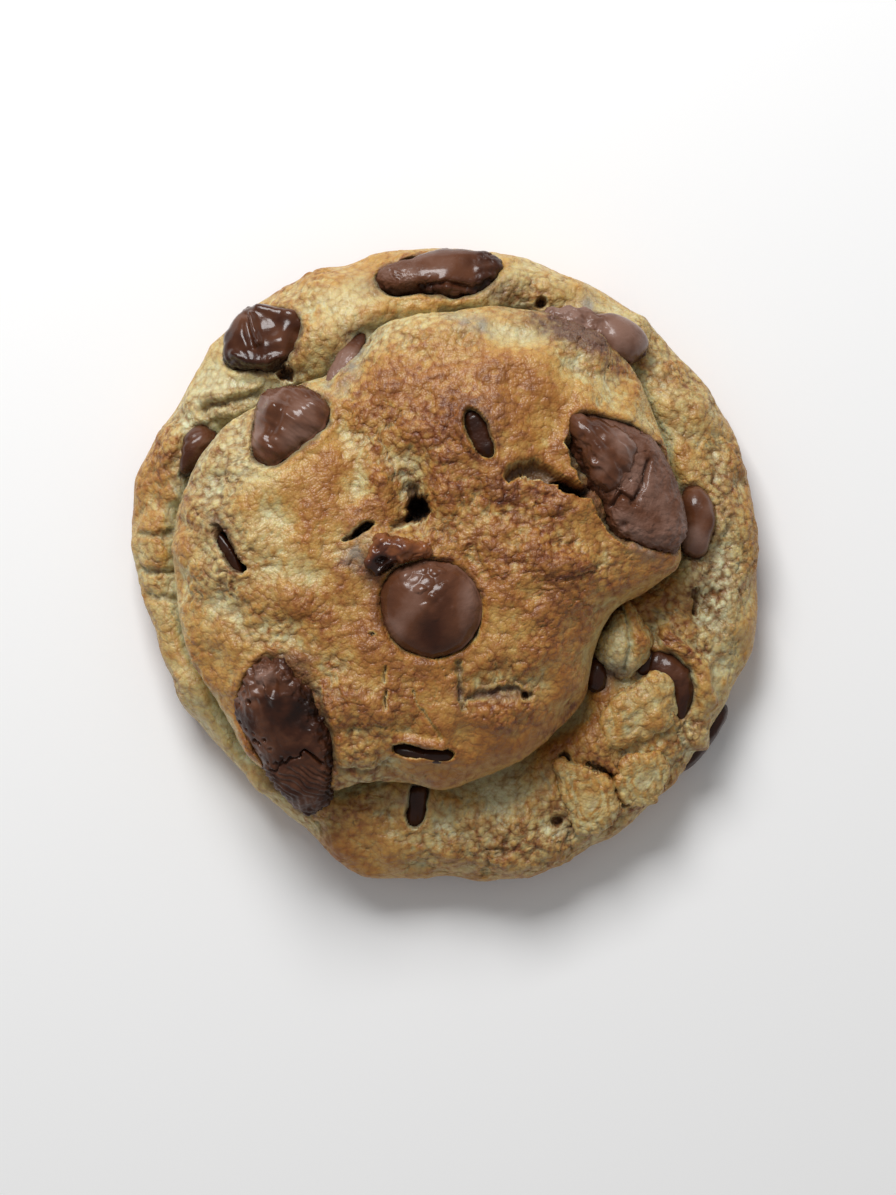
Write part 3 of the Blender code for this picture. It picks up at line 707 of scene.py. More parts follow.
def crown_form():
    """The crown: rings of a superellipse dome that turns over at its widest and tucks back under, closed below."""
    reach, angle = disc_grid(CROWN_GRID)
    edge = outline_radius(CROWN_RADII, angle)
    steps = np.linspace(0, math.pi, 400)
    top = np.minimum(steps, math.pi / 2)
    power = 2 / CROWN_SQUARENESS
    mean = np.mean(CROWN_RADII)
    ring = np.where(steps < math.pi / 2, mean * np.sin(top) ** power, mean - CROWN_TUCK * (1 - np.sin(steps)))
    tall = np.where(steps < math.pi / 2, CROWN_RISE * np.cos(top) ** power, CROWN_DEPTH * np.cos(steps))
    length = np.concatenate([[0], np.cumsum(np.hypot(np.diff(ring), np.diff(tall)))])
    slope = np.interp(reach * length[-1], length, steps)
    over = np.minimum(slope, math.pi / 2)
    out = np.where(slope < math.pi / 2, edge * np.sin(over) ** power, edge - CROWN_TUCK * (1 - np.sin(slope)))
    x, y = out * np.cos(angle), out * np.sin(angle)
    low = CROWN_WIDEST + CROWN_DEPTH * np.cos(slope)
    return np.stack([x, y, np.where(slope < math.pi / 2, crown_height(x, y), low)], -1)


def make_crown(finish):
    """The upper dough, over the skirt."""
    formed, marks = finish_dough(crown_form(), False, CROWN_GROOVES, CROWN_PITS, CROWN_CHIPS)
    return close_disc("dough_crown", formed, finish, ["dough"], marks, [0, 0, CROWN_WIDEST - CROWN_DEPTH])


def skirt_form():
    """The skirt, ring by ring from under the crown: shelf, rounded shoulder, tucked side, flat foot."""
    angle = -np.arange(SKIRT_AROUND) * math.tau / SKIRT_AROUND
    rim = outline_radius(RIM_RADII, angle)
    crown = outline_radius(CROWN_RADII, angle)
    power = 2 / SKIRT_SQUARENESS
    shelf = np.linspace(0, 1, SKIRT_SHELF_STEPS, endpoint=False)
    inner = np.minimum(crown - SKIRT_INNER_REACH, rim - SHOULDER_WIDTH - 1)
    reach = [inner[:, None] + (rim - SHOULDER_WIDTH - inner)[:, None] * shelf]
    slope = np.linspace(math.pi / 2, 0, SKIRT_SHOULDER_STEPS)
    reach.append(rim[:, None] - SHOULDER_WIDTH * (1 - np.maximum(np.cos(slope), 0) ** power))
    reach = np.hstack(reach)
    x = reach * np.cos(angle)[:, None]
    y = reach * np.sin(angle)[:, None]
    filled = np.clip(swell_height(SHALLOW_CREASE, x, y), 0, 1)
    crease = CREASE_DEPTH * bell_over(reach, crown[:, None] - 0.4, CREASE_REACH) * (1 - filled)
    upper = np.stack([x, y, skirt_height(x, y) - crease], -1)
    under = np.linspace(0, math.pi / 2, SKIRT_SIDE_STEPS + 1)[1:]
    foot = rim - FOOT_INSET
    ring = rim[:, None] - FOOT_INSET * (1 - np.cos(under))
    ring = np.hstack([ring, SKIRT_HUB_RADIUS + (foot - SKIRT_HUB_RADIUS)[:, None]
                      * np.linspace(1, 0, SKIRT_FOOT_STEPS + 1)[1:]])
    height = np.concatenate([RIM_HEIGHT * (1 - np.sin(under)), np.zeros(SKIRT_FOOT_STEPS)])
    height = np.broadcast_to(height, ring.shape)
    lower = np.stack([ring * np.cos(angle)[:, None], ring * np.sin(angle)[:, None], height], -1)
    return np.concatenate([upper, lower], 1)


def make_skirt(finish):
    """The lower dough: the wide round under the crown, down to the flat foot."""
    formed, marks = finish_dough(skirt_form(), True, SKIRT_GROOVES, SKIRT_PITS, SKIRT_CHIPS)
    rings = formed.shape[1]
    points = np.vstack([formed.reshape(-1, 3), [0, 0, SKIRT_TOP - 1.5], [0, 0, 0]])
    marks = {mark: np.append(values.ravel(), [HUB_MARK, HUB_MARK]) for mark, values in marks.items()}
    index = np.arange(SKIRT_AROUND) * rings
    hub = SKIRT_AROUND * rings
    closing = np.vstack([fan(index[::-1], hub), fan(index + rings - 1, hub + 1)])
    quads = grid_quads(SKIRT_AROUND, rings, wrap=True)
    return mesh_piece("dough_skirt", points, quads, closing, finish, ["dough"], marks)


def make_dough_body(name, form, count, squareness, finish, relief, baked):
    """A lump or flake of dough on the skirt: a superellipse body over its outline, its edge scalloped into crumbs,
    with the same crumb as the rest and its own relief."""
    points, reach = chip_form(form, count, squareness)
    normals = grid_normals(points)
    drift = shift(points, 1.4, 150)
    near, second, tone = crumbs(points + 0.2 * drift, SCALLOP_SIZE, 161)
    edge = ramp(reach, 0.5, 0.66)
    scallops = (0.1 + 0.4 * edge) * (rounded(near) * (0.6 + 0.7 * tone) - 0.5)
    fine_near, fine_second, fine_tone = crumbs(points + 0.1 * drift, FINE_BEAD_SIZE, 51)
    beads = 0.12 * rounded(fine_near) * (0.5 + fine_tone)
    height = 0.2 * layered_noise(points, 3.0, 171, 3) + scallops + beads + relief(points)
    formed = points + normals * (height * ramp(reach, 0.98, 0.85))[..., None]
    brown = browning_and_painted_light(formed, grid_normals(formed), False) + baked + 0.12 * (fine_tone - 0.5)
    # Painted shade in the gaps between scallops and between fine beads.
    dark = 0.6 * fade(second - near, 0.14) * edge + 0.3 * fade(fine_second - fine_near, 0.22)
    marks = {"browning_and_painted_light": brown, "depth": dark, "cocoa": cocoa_stain(points, ()), "bloom_and_shade": bloom_and_shade(points),
             "crumbly": 0.15 + 0.5 * edge}
    return close_disc(name, formed, finish, ["dough"], marks)


def lobe_relief(points):
    """The lobe's upper left edge stands up as a crust, and its right end is torn."""
    x, y = points[..., 0], points[..., 1]
    crust = ridge(x, y, ((18.6, -20.4), (20.4, -16.6), (23.6, -15.2), (27.0, -14.4)), 0.7, 0.4)
    return crust + 0.35 * layered_noise(points, 2.2, 191, 2)


def nub_relief(points):
    """The nub is two folds side by side, with a groove between them that opens at the lower end."""
    x, y = points[..., 0], points[..., 1]
    groove = ridge(x, y, ((22.0, -5.6), (23.0, -7.6), (23.2, -10.4), (22.4, -13.6)), 0.4, -0.9)
    return groove + dot(x, y, (24.6, -9.6), 1.3, 0.35) + dot(x, y, (21.4, -10.0), 1.4, 0.3)


def flake_folds(points):
    """Fine upright folds along a flake's long side."""
    x, y = points[..., 0], points[..., 1]
    folds = 0.07 * np.sin(6.0 * (x + 0.25 * y) + 1.2 * layered_noise(points, 2.0, 181, 2))
    return folds + 0.12 * layered_noise(points, 2.4, 183, 2)


def chip_form(chip, count, squareness):
    """A half-melted chip: an outline of radii carried up over a superellipse dome and down under it,
    then leaned outwards and set in the dough so that its top stands at its rise. Gives points and the reach."""
    reach, angle = disc_grid(count)
    slope = reach * UNDER_SLOPE
    edge = outline_radius(chip.radii, angle)
    rim = np.stack([edge * np.cos(angle), edge * np.sin(angle), 0 * edge], -1)
    edge = edge + 0.14 * layered_noise(rim, 1.1, round(40 * abs(chip.x)), 2) * reach
    power = 2 / squareness
    over = np.minimum(slope, math.pi / 2)
    out = edge * np.where(slope < math.pi / 2, np.sin(over) ** power, np.sin(slope))
    tall = chip.high * np.where(slope < math.pi / 2, np.cos(over) ** power, np.cos(slope))
    local = np.stack([out * np.cos(angle), out * np.sin(angle), tall], -1)
    outwards = math.atan2(chip.y, chip.x)
    body = local @ spin(math.radians(chip.turn) - outwards, 2).T @ spin(math.radians(chip.lean), 1).T
    body = body @ spin(outwards, 2).T
    height_of = crown_height if chip.on_crown else skirt_height
    top = height_of(np.array(chip.x), np.array(chip.y)) + chip.rise
    return body + [chip.x, chip.y, top - chip.high], reach


def spin(angle, axis):
    """Matrix of a turn about X, Y or Z by its number."""
    c, s = math.cos(angle), math.sin(angle)
    about_x = ((1, 0, 0), (0, c, -s), (0, s, c))
    about_y = ((c, 0, s), (0, 1, 0), (-s, 0, c))
    about_z = ((c, -s, 0), (s, c, 0), (0, 0, 1))
    return np.array((about_x, about_y, about_z)[axis])


def make_chip(name, node, chip, count, finish, relief, squareness):
    """A chocolate piece: its form, with its own relief added along the normal, a crumbly dark edge, closed below."""
    points, reach = chip_form(chip, count, squareness)
    height, milk, matt = relief(points[..., 0], points[..., 1], points, reach)
    edge = ramp(reach + 0.04 * layered_noise(points, 1.0, 95, 2), 0.56, 0.72)
    height = height + 0.2 * edge * layered_noise(points, 0.8, 96, 3)
    points = points + grid_normals(points) * (height * ramp(reach, 0.95, 0.85))[..., None]
    marks = {"milk": milk - 0.35 * edge, "matt": np.maximum(matt, 0.7 * edge)}
    return close_disc(name, points, finish, [node], marks)


def skin(points, seed, height, size=3.6):
    """Broad soft waves of melted chocolate that has set."""
    return height * layered_noise(points, size, seed, 2)


def dot(x, y, middle, width, rise):
    """A round bump or dimple: a bell of that width."""
    return rise * np.exp(-((x - middle[0]) ** 2 + (y - middle[1]) ** 2) / width**2)


def ridge(x, y, path, width, rise):
    """A raised line, or a furrow where rise is negative, along a path."""
    return rise * bell_over(path_distance(x, y, path), 0.0, width)


def streaks(points, turn, size, rise, seed):
    """Fine drawn lines at an angle: soft noise stretched to five times its length along them."""
    x, y = points[..., 0], points[..., 1]
    way = math.radians(turn)
    across = y * math.cos(way) - x * math.sin(way)
    along = x * math.cos(way) + y * math.sin(way)
    return rise * layered_noise(np.stack([across, along * 0.2, points[..., 2] * 0.2], -1), size, seed, 2)


def centre_relief(x, y, points, reach):
    """Round centre chip: a band of small blisters, ripples at the upper right, a soft dimple painted darker as shade
    and a thin rim.
    """
    near, _, tone = crumbs(points + 0.3 * layered_noise(points, 1.5, 105, 2)[..., None], 1.2, 101)
    band = ramp(path_distance(x, y, ((-4.6, -0.6), (-2.4, -1.8), (-0.9, -4.4))), 3.4, 1.2)
    blisters = band * 0.42 * cap(near, 0.8) * tone
    upper = ramp(y, -4.5, -1.5) * ramp(x, -2.5, 0.0)
    ripples = upper * streaks(points, 35, 0.9, 0.16, 102)
    dimple = dot(x, y, (-2.3, -8.6), 1.7, -0.8)
    raised = 0.2 * bell_over(reach, 0.6, 0.018)
    rim = ramp(x, -1, 2) * (raised - 0.25 * bell_over(reach, 0.65, 0.015))
    milk = 0.68 + 0.18 * layered_noise(points, 4.0, 103, 2)
    # The dimple is painted darker: shade where no reflection of the sky falls.
    milk = milk - dot(x, y, (-2.3, -8.8), 1.9, 0.5) + 0.16 * ramp(x, 0, 3)
    matt = 0.15 + 0.3 * ramp(x, 0.5, 4.0) * ramp(y, -3, -6)
    return blisters + ripples + dimple + rim + skin(points, 104, 0.12), milk, matt


def left_shoulder_relief(x, y, points, reach):
    """Teardrop chip: a knob at its upper left, lines drawn down to the right, a thin broken rim below."""
    knob = dot(x, y, (-21.0, 19.0), 1.2, 0.8) + dot(x, y, (-19.4, 17.8), 0.8, 0.4)
    knob = knob + dot(x, y, (-18.3, 17.0), 0.7, 0.35)
    valley = ridge(x, y, ((-19.6, 20.5), (-19.9, 18.0), (-21.5, 15.5)), 0.5, -0.3)
    drawn = streaks(points, -38, 0.6, 0.1, 201) + streaks(points, -20, 1.6, 0.2, 203)
    rim = 0.22 * bell_over(reach, 0.64, 0.02) * ramp(y - 0.5 * x, 26.5, 24)
    milk = 0.76 + 0.2 * layered_noise(points, 3.0, 205, 2)
    return knob + valley + drawn + rim + skin(points, 206, 0.22, 3.0), milk, np.full(x.shape, 0.12)


def upper_left_relief(x, y, points, reach):
    """Squarish chip at the upper left: a folded groove between a high left lobe and a smooth right one,
    with a wrinkled bright rim turned up along its lower edge."""
    groove = ridge(x, y, ((-25.0, 31.4), (-24.6, 29.2), (-23.9, 26.8)), 0.5, -0.5)
    groove = groove + ridge(x, y, ((-24.2, 31.0), (-23.7, 29.0), (-23.1, 27.4)), 0.4, 0.7)
    lobes = dot(x, y, (-21.6, 29.8), 1.7, -0.9) + dot(x, y, (-20.2, 27.6), 1.5, 0.4)
    fold = ridge(x, y, ((-23.4, 32.0), (-20.4, 31.6), (-18.1, 30.8), (-17.6, 28.9), (-18.6, 26.2)), 0.5, 0.5)
    near, _, _ = crumbs(points, 0.7, 211)
    lower = ramp(y, 26.6, 25.4)
    rim = ridge(x, y, ((-26.4, 26.2), (-24.6, 25.3), (-22.0, 25.2), (-20.2, 26.0)), 0.45, 0.45)
    milk = 0.46 + 0.22 * layered_noise(points, 2.8, 212, 2) - 0.15 * lower
    relief = groove + lobes + fold + rim + lower * 0.2 * (1 - near)
    return relief + skin(points, 213, 0.2, 2.6), milk, 0.1 + 0.2 * lower


def top_edge_relief(x, y, points, reach):
    """Long chip on the top edge: a smooth bluish dome right of its middle, a dull grainy left part,
    crumbly reddish ridges below and a dark wrinkled right end."""
    dome = dot(x, y, (0.2, 37.2), 2.2, 0.5)
    left = ramp(x, -2.6, -4.4)
    low = ramp(y, 36.0, 34.8) * ramp(x, -3.6, -1.6)
    right = ramp(x, 3.4, 4.8)
    near, _, tone = crumbs(points, 0.95, 221)
    chunks = cap(near) * tone
    grain = 0.08 * (1 - crumbs(points, 0.42, 222)[0])
    cracks = ridge(x, y, ((-3.0, 34.4), (0.2, 35.0), (3.4, 34.2), (5.6, 35.4)), 0.28, -0.6)
    milk = 0.78 + 0.2 * layered_noise(points, 3.0, 223, 2) - 0.4 * right - 0.3 * low + 0.1 * left
    matt = 0.12 + 0.6 * left + 0.45 * low + 0.3 * right
    relief = dome - 0.35 * left + 2 * left * grain + (low + 0.6 * right) * 0.45 * chunks + cracks
    relief = relief + streaks(points, 12, 1.0, 0.2, 224) * right
    return relief + skin(points, 226, 0.22, 3.0), milk, matt


def upper_right_relief(x, y, points, reach):
    """Chip smeared down the crown's upper right: a long streaked smear that ends in a smooth ball."""
    ball = dot(x, y, (22.7, 27.9), 2.4, 0.5)
    smear = ramp(x, 20.8, 18.6)
    drawn = smear * (streaks(points, -14, 1.2, 0.25, 281) + 0.25 * layered_noise(points, 1.1, 283, 3) - 0.2)
    waist = ridge(x, y, ((19.6, 31.4), (20.2, 28.8), (19.8, 26.4)), 0.9, -0.25)
    milk = 0.96 + 0.2 * layered_noise(points, 2.2, 284, 3)
    return ball + drawn + waist, milk, 0.22 + 0.35 * smear


def plate_relief(x, y, points, reach):
    """The broad dull plate under the petal: a fine stipple, one torn crack with holes, and a crumbled lower end."""
    stipple = 0.1 * (1 - crumbs(points, 0.42, 121)[0]) + 0.08 * layered_noise(points, 0.9, 122, 2)
    drift = shift(points, 1.2, 126)
    cell, next_cell, _ = crumbs(points + 0.5 * drift, 1.6, 129)
    edge_of_petal = ramp(path_distance(x, y, ((20.0, 8.0), (23.6, 7.4), (25.4, 11.4), (24.0, 15.0))), 3.4, 1.0)
    broken = ramp(soft_noise(points, 1.5, 130), -0.2, 0.3)
    stipple = stipple - 0.32 * edge_of_petal * broken * fade(next_cell - cell, 0.09)
    torn = ridge(x, y, ((20.4, 6.9), (21.6, 8.4), (23.2, 7.6), (24.4, 9.6), (25.0, 12.4)), 0.26, -0.9)
    holes = dot(x, y, (22.0, 4.6), 0.45, -0.8) + dot(x, y, (23.0, 7.2), 0.4, -0.8)
    holes = holes + dot(x, y, (20.9, 9.9), 0.4, -0.6)
    low = ramp(y, 5.5, 3.5)
    near, _, tone = crumbs(points, 0.6, 124)
    milk = 0.8 + 0.16 * layered_noise(points, 2.6, 123, 3) + 0.1 * low
    relief = stipple + torn + holes + low * 0.25 * (cap(near) * tone)
    return relief + skin(points, 125, 0.25), milk, np.full(x.shape, 0.85)


def petal_relief(x, y, points, reach):
    """The glossy petal that leans on the plate: long creases from its tip and a beaded ridge along its left side."""
    creases = streaks(points, -58, 1.3, 0.26, 131) + streaks(points, -40, 0.6, 0.1, 133)
    beads = ridge(x, y, ((17.0, 15.4), (17.9, 12.6), (19.6, 9.8)), 0.4, 0.3) * soft_noise(points, 0.7, 134)
    fold = ridge(x, y, ((19.2, 15.6), (21.0, 13.0), (21.8, 10.8)), 0.5, -0.4)
    milk = 0.7 + 0.25 * layered_noise(points, 2.4, 135, 2)
    return creases + beads + fold + skin(points, 136, 0.2, 2.0), milk, np.full(x.shape, 0.3)


def lower_left_relief(x, y, points, reach):
    """The long chip over the crown's lower left edge: crumbly top, glossy wrinkles, an amber hollow, a wavy crack,
    ripples below it and upright ribs on its tail, rough sides with pores."""
    near, _, tone = crumbs(points, 0.95, 111)
    top = ramp(y, -13.4, -11.8)
    sides = ramp(reach, 0.42, 0.6)
    crumbly = (0.55 * top + 0.35 * sides) * (cap(near) * (0.4 + tone) - 0.4)
    upper = ramp(y, -19.5, -15.0)
    wrinkles = 0.3 * upper * (1 - 3 * np.abs(layered_noise(points, 1.9, 112, 2)))
    hollow = dot(x, y, (-17.7, -18.9), 1.9, -0.6)
    drift = layered_noise(points, 2.6, 113, 2)
    bent = 0.5 * layered_noise(points, 1.3, 117, 3)
    path = ((-21.6, -25.4), (-19.6, -24.4), (-18.2, -24.4), (-16.9, -23.2), (-15.2, -24.4))
    crack = ridge(x + bent, y - bent, path, 0.16, -0.8)
    lower = ramp(y, -24.6, -25.4)
    ripples = (0.1 * np.sin(9.0 * (y + 0.5 * x + 0.4 * drift)) + 0.12 * drift) * lower * ramp(y, -29.3, -28.3)
    ribs = 0.1 * np.sin(7.0 * (x + 0.3 * drift)) * ramp(y, -28.6, -29.4) * (1 - sides)
    hole, _, chance = crumbs(points + 0.4 * drift[..., None], 1.15, 118)
    pores = -0.7 * (1 - ramp(hole, 0.15, 0.4)) * (chance > 0.6) * ramp(x, -20.6, -22.4)
    rough = 0.16 * layered_noise(points, 0.8, 114, 2) * (0.3 + 0.7 * sides)
    milk = 0.5 + 0.3 * layered_noise(points, 2.4, 115, 3) - dot(x, y, (-17.7, -18.9), 2.8, 0.65)
    milk = milk + 0.1 * lower + 0.22 * upper
    matt = 0.35 + 0.4 * top + 0.35 * lower + 0.3 * sides
    return crumbly + wrinkles + hollow + crack + ripples + ribs + pores + rough, milk, matt


def make_caramel(finish):
    """The lump of melted sugar above the centre chip: a low body with round knobs, sunk at its lower left."""
    points, reach = chip_form(CARAMEL, CARAMEL_GRID, 2.2)
    near, _, tone = crumbs(points + 0.3 * layered_noise(points, 1.5, 351, 2)[..., None], 1.3, 352)
    knobs = 0.4 * cap(near) * (0.4 + 0.8 * tone) + 0.3 * layered_noise(points, 1.6, 353, 3)
    hollow = dot(points[..., 0], points[..., 1], (-7.6, -0.2), 1.1, -1.6)
    formed = points + grid_normals(points) * ((knobs + hollow) * ramp(reach, 0.95, 0.8))[..., None]
    scorched = -hollow / 1.6 + 0.5 * ramp(points[..., 1], 1.0, -0.5) + 0.3 * layered_noise(points, 1.8, 354, 3) + 0.15
    return close_disc("caramel_lump", formed, finish, [], {"scorched": scorched})


def sliver_relief(x, y, points, reach):
    """The sliver under a thin film of dough: nearly level, grey with glints, darker towards its upper end."""
    upper = ramp(y, 25.5, 28.5)
    grain = 0.06 * (1 - crumbs(points, 0.45, 232)[0]) * (1 - upper)
    return 2 * grain + skin(points, 233, 0.15), 1.0 - 0.7 * upper, np.full(x.shape, 0.5)


def plain_relief(seed, turn=0.0, ribs=0.0, milk=0.6, matt=0.25):
    """A smaller chip with soft waves, ribs drawn at an angle and its own tone."""

    def relief(x, y, points, reach):
        tone = milk + 0.2 * layered_noise(points, 2.6, seed, 2)
        height = skin(points, seed + 1, 0.14, 2.6) + streaks(points, turn, 0.9, ribs, seed + 2)
        return height, tone, matt + 0.15 * layered_noise(points, 1.8, seed + 4, 2)

    return relief


def srgb(red, green, blue):
    """A colour as read on a screen, from 0 to 255 each, in the linear values that a shader takes."""
    share = np.array([red, green, blue]) / 255
    return (*np.where(share <= 0.04045, share / 12.92, ((share + 0.055) / 1.055) ** 2.4), 1.0)


def set_inputs(tree, node, inputs):
    """Give a node its inputs: a plain value is set, and another node's output is linked."""
    for key, value in inputs.items():
        if isinstance(value, bpy.types.NodeSocket):
            tree.links.new(value, node.inputs[key])
        else:
            node.inputs[key].default_value = value


def add_node(tree, kind, inputs=None, output=0, **settings):
    """A shader node with its settings and its inputs, each a plain value or another node's output."""
    made = tree.nodes.new("ShaderNode" + kind)
    for key, value in settings.items():
        setattr(made, key, value)
    set_inputs(tree, made, inputs or {})
    return made.outputs[output]


def calculate(tree, operation, first, second=0.0, third=0.0):
    """One step of arithmetic between shader values."""
    return add_node(tree, "Math", {0: first, 1: second, 2: third}, operation=operation)


def scaled(tree, value, factor, added):
    """A shader value times a factor, with something added."""
    return calculate(tree, "MULTIPLY_ADD", value, factor, added)


def colour_ramp(tree, value, stops):
    """Colours along a value, from (place, colour) stops."""
    made = tree.nodes.new("ShaderNodeValToRGB")
    tree.links.new(value, made.inputs[0])
    bar = made.color_ramp.elements
    while len(bar) < len(stops):
        bar.new(0.5)
    for stop, (place, colour) in zip(bar, stops, strict=True):
        stop.position = place
        stop.color = colour
    return made.outputs[0]


def mix_colour(tree, share, first, second, how="MIX"):
    """Two colours blended by a share from 0 to 1."""
    return add_node(tree, "Mix", {0: share, 6: first, 7: second}, 2, data_type="RGBA", blend_type=how)


def attribute(tree, name):
    """A mark of the piece, read at each point."""
    return add_node(tree, "Attribute", output=2, attribute_name=name)


def noise(tree, place, scale, detail, **inputs):
    """Noise of so many features to a metre, with finer layers of detail."""
    return add_node(tree, "TexNoise", {"Vector": place, "Scale": scale, "Detail": detail, **inputs})


def fitted(tree, value, low, high, start, end):
    """A value from low to high carried over to start to end, and held there beyond them."""
    return add_node(tree, "MapRange", {0: value, 1: low, 2: high, 3: start, 4: end})


def new_finish(name):
    """An empty material with its shader and its tree."""
    material = bpy.data.materials.new(name)
    material.use_nodes = True
    return material, material.node_tree, material.node_tree.nodes["Principled BSDF"]


def baked_dough():
    """Baked dough: pale in the valleys, golden, then brown on the tops, with fine grain in colour, gloss and bump, and
    painted shade between beads, in clefts, cracks, grooves and pits.
    """
    material, tree, shader = new_finish("baked dough")
    place = add_node(tree, "TexCoord", output=3)
    patch = noise(tree, place, 170, 3)
    fine = noise(tree, place, 900, 4, Roughness=0.6)
    drift = add_node(tree, "TexNoise", {"Vector": place, "Scale": 500, "Detail": 1}, 1)
    bent = add_node(tree, "VectorMath", {0: drift, 1: (0.0006, 0.0006, 0.0006), 2: place}, operation="MULTIPLY_ADD")
    bead = add_node(tree, "TexVoronoi", {"Vector": bent, "Scale": 1180, "Randomness": 0.9})
    grain = add_node(tree, "TexVoronoi", {"Vector": bent, "Scale": 3000})
    edge = add_node(tree, "TexVoronoi", {"Vector": bent, "Scale": 480}, feature="DISTANCE_TO_EDGE")
    crumbly = attribute(tree, "crumbly")
    # The clefts sink the bump and, in the colour below, are painted shade.
    cleft = add_node(tree, "MapRange", {0: edge, 1: 0.0, 2: 0.2, 3: 1.0, 4: 0.0}, interpolation_type="SMOOTHSTEP")
    broken = fitted(tree, fine, 0.42, 0.56, 0.0, 0.8)
    cleft = calculate(tree, "MULTIPLY", cleft, calculate(tree, "MULTIPLY", broken, crumbly))
    tone = scaled(tree, patch, 0.24, -0.12)
    tone = calculate(tree, "ADD", tone, attribute(tree, "browning_and_painted_light"))
    tone = calculate(tree, "ADD", tone, scaled(tree, fine, 0.3, -0.15))
    colour = colour_ramp(tree, tone, (
        (0.0, srgb(212, 208, 166)),
        (0.25, srgb(206, 187, 128)),
        (0.5, srgb(194, 151, 76)),
        (0.75, srgb(172, 114, 40)),
        (1.0, srgb(130, 78, 24)),
    ))
    # Painted shade: darker between beads, in clefts, and by the depth mark in cracks, grooves and pits, nearly black
    # in the deepest.
    depth = attribute(tree, "depth")
    between = fitted(tree, bead, 0.35, 0.85, 0.0, 1.0)
    between = calculate(tree, "MULTIPLY", between, scaled(tree, crumbly, 0.5, 0.4))
    for share, over, how in (
        (between, srgb(196, 146, 82), "MULTIPLY"),
        (cleft, srgb(186, 128, 62), "MULTIPLY"),
        (fitted(tree, depth, 0.0, 1.0, 0.0, 0.9), srgb(158, 112, 62), "MULTIPLY"),
        (fitted(tree, attribute(tree, "bloom_and_shade"), 0.0, 1.0, 0.0, 0.75), srgb(142, 138, 128), "MIX"),
        (calculate(tree, "MULTIPLY", attribute(tree, "cocoa"), 0.9), srgb(92, 57, 42), "MIX"),
        (fitted(tree, depth, 1.2, 2.0, 0.0, 0.92), srgb(34, 20, 8), "MIX"),
    ):
        colour = mix_colour(tree, share, colour, over, how)
    tall = scaled(tree, crumbly, -1.0, -0.6)
    height = calculate(tree, "MULTIPLY", calculate(tree, "POWER", bead, 3), tall)
    height = scaled(tree, fine, 0.3, height)
    height = scaled(tree, calculate(tree, "POWER", grain, 2), -0.3, height)
    height = scaled(tree, cleft, -0.5, height)
    bump = add_node(tree, "Bump", {"Strength": 1.0, "Distance": 0.00025, "Height": height})
    set_inputs(tree, shader, {
        "Base Color": colour, "Roughness": 0.6, "Normal": bump,
        "Coat Weight": 0.35, "Coat Roughness": 0.25, "Coat Normal": bump,
        "Subsurface Weight": 0.5, "Subsurface Radius": (1.0, 0.7, 0.35), "Subsurface Scale": 0.0007,
    })
    return material


def toffee():
    """Melted sugar with chocolate in it: glossy orange-brown, nearly black where it is scorched."""
    material, tree, shader = new_finish("toffee")
    place = add_node(tree, "TexCoord", output=3)
    patch = noise(tree, place, 500, 3)
    tone = calculate(tree, "ADD", attribute(tree, "scorched"), scaled(tree, patch, 0.8, -0.4))
    colour = colour_ramp(tree, tone, (
        (0.0, srgb(128, 74, 38)),
        (0.3, srgb(88, 44, 24)),
        (0.75, srgb(40, 19, 12)),
    ))
    bump = add_node(tree, "Bump", {"Strength": 0.6, "Distance": 0.0003, "Height": patch})
    set_inputs(tree, shader, {"Base Color": colour, "Roughness": 0.24, "Normal": bump})
    return material


def milk_chocolate():
    """Set milk chocolate: darker where it is thin or scorched, paler and duller where it has bloomed."""
    material, tree, shader = new_finish("milk chocolate")
    place = add_node(tree, "TexCoord", output=3)
    patch = noise(tree, place, 420, 4)
    fine = noise(tree, place, 2400, 3)
    tone = scaled(tree, patch, 0.4, -0.2)
    tone = calculate(tree, "ADD", tone, attribute(tree, "milk"))
    colour = colour_ramp(tree, tone, (
        (0.0, srgb(34, 12, 3)),
        (0.35, srgb(60, 28, 12)),
        (0.7, srgb(94, 56, 36)),
        (1.0, srgb(130, 98, 84)),
    ))
    rough = scaled(tree, attribute(tree, "matt"), 0.42, 0.2)
    rough = calculate(tree, "ADD", rough, scaled(tree, fine, 0.16, -0.08))
    rubbed = scaled(tree, attribute(tree, "matt"), 1.8, 0.1)
    height = calculate(tree, "ADD", patch, calculate(tree, "MULTIPLY", fine, rubbed))
    bump = add_node(tree, "Bump", {"Strength": 0.5, "Distance": 0.00022, "Height": height})
    set_inputs(tree, shader, {
        "Base Color": colour, "Roughness": rough, "Normal": bump,
        "Specular IOR Level": 0.2, "Coat Weight": 0.3, "Coat Roughness": 0.12,
    })
    return material


def make_floor():
    """A wide pale floor under the cookie."""
    material, tree, shader = new_finish("pale floor")
    set_inputs(tree, shader, {"Base Color": (0.95, 0.95, 0.95, 1), "Roughness": 0.9})
    half = FLOOR_HALF
    corners = [(-half, -half, 0), (half, -half, 0), (half, half, 0), (-half, half, 0)]
    mesh = bpy.data.meshes.new("floor")
    mesh.from_pydata(corners, [], [(0, 1, 2, 3)])
    mesh.materials.append(material)
    linked("floor", mesh)


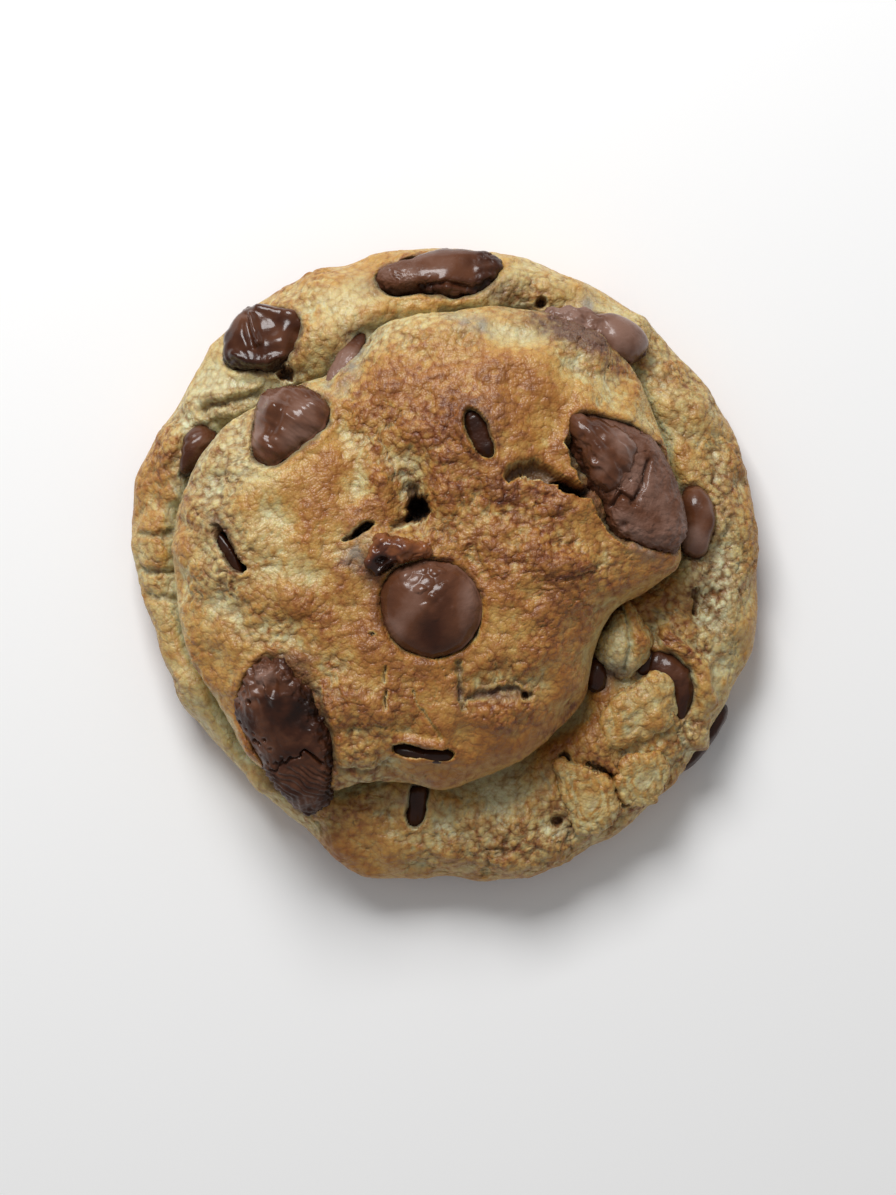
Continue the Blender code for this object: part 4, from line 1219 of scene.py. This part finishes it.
def make_view():
    """The camera over the cookie, a soft window light from the upper left and even light from the room."""
    camera = linked("camera", bpy.data.cameras.new("camera"))
    camera.location = [v * MM for v in CAMERA_PLACE]
    camera.data.sensor_fit = "HORIZONTAL"
    camera.data.lens = CAMERA_LENS
    bpy.context.scene.camera = camera
    window = linked("window", bpy.data.lights.new("window", "AREA"))
    window.data.size = WINDOW_SIDE
    window.data.energy = WINDOW_POWER
    turn, lift = math.radians(WINDOW_AZIMUTH), math.radians(WINDOW_ELEVATION)
    window.location = [WINDOW_DISTANCE * k for k in (
        math.cos(lift) * math.cos(turn), math.cos(lift) * math.sin(turn), math.sin(lift))]
    window.rotation_euler = (math.pi / 2 - lift, 0, turn + math.pi / 2)
    world = bpy.data.worlds.new("room")
    world.use_nodes = True
    light = {"Strength": ROOM_LIGHT, "Color": (1, 1, 1, 1)}
    set_inputs(world.node_tree, world.node_tree.nodes["Background"], light)
    bpy.context.scene.world = world
    bpy.context.scene.view_settings.view_transform = "Standard"


def make_cookie():
    """Every piece of the cookie: the dough's six bodies, the chips and the lump of melted sugar."""
    dough = baked_dough()
    chocolate = milk_chocolate()
    make_crown(dough)
    make_skirt(dough)
    for name, form, count, squareness, relief, baked in (
        ("dough_nub", NUB, 160, 2.5, nub_relief, -0.12),
        ("dough_lobe", LOBE, 190, 4.0, lobe_relief, 0.05),
        ("dough_flake_inner", FLAKE_INNER, 180, 7.0, flake_folds, 0.08),
        ("dough_flake_outer", FLAKE_OUTER, 170, 7.0, flake_folds, 0.06),
    ):
        make_dough_body(name, form, count, squareness, dough, relief, baked)
    for name, chip, count, relief, squareness in (
        ("chip_centre", CENTRE, 190, centre_relief, 2.3),
        ("chip_left_shoulder", LEFT_SHOULDER, 160, left_shoulder_relief, 2.5),
        ("chip_upper_left", UPPER_LEFT, 160, upper_left_relief, 2.7),
        ("chip_top_edge", TOP_EDGE, 180, top_edge_relief, 3.0),
        ("chip_sliver", SLIVER, 100, sliver_relief, 3.4),
        ("chip_left_crease", LEFT_CREASE, 100, plain_relief(241, 30, 0.12, 0.55, 0.2), 2.2),
        ("chip_slot", SLOT, 90, plain_relief(251, 28, 0.12, 0.15, 0.45), 4.0),
        ("chip_right", RIGHT_PLATE, 210, plate_relief, 2.8),
        ("chip_right_petal", RIGHT_PETAL, 150, petal_relief, 2.2),
        ("chip_lower_left", LOWER_LEFT, 230, lower_left_relief, 2.4),
        ("chip_smile", SMILE, 80, plain_relief(261, 0, 0.03, 0.2, 0.3), 4.0),
        ("chip_left_pit", LEFT_PIT, 80, plain_relief(271, 0, 0.03, 0.15, 0.3), 4.0),
        ("chip_upper_right", UPPER_RIGHT, 180, upper_right_relief, 2.4),
        ("chip_right_crease", RIGHT_CREASE, 110, plain_relief(291, 90, 0.0, 0.8, 0.22), 2.2),
        ("chip_pit_left", PIT_LEFT, 80, plain_relief(301, 70, 0.06, 0.3, 0.15), 2.2),
        ("chip_pit_right", PIT_RIGHT, 80, plain_relief(311, 0, 0.05, 0.3, 0.2), 2.2),
        ("chip_ribbon", RIBBON, 120, plain_relief(321, 75, 0.12, 0.4, 0.4), 2.2),
        ("chip_bottom_slot", BOTTOM_SLOT, 90, plain_relief(331, 85, 0.3, 0.3, 0.35), 4.0),
        ("chip_side", SIDE, 90, plain_relief(341, 0, 0.05, 0.35, 0.35), 2.2),
    ):
        node = "chip_right" if chip is RIGHT_PETAL else name
        make_chip(name, node, chip, count, chocolate, relief, squareness)
    make_caramel(toffee())


make_floor()
make_view()
make_cookie()
bpy.context.view_layer.update()
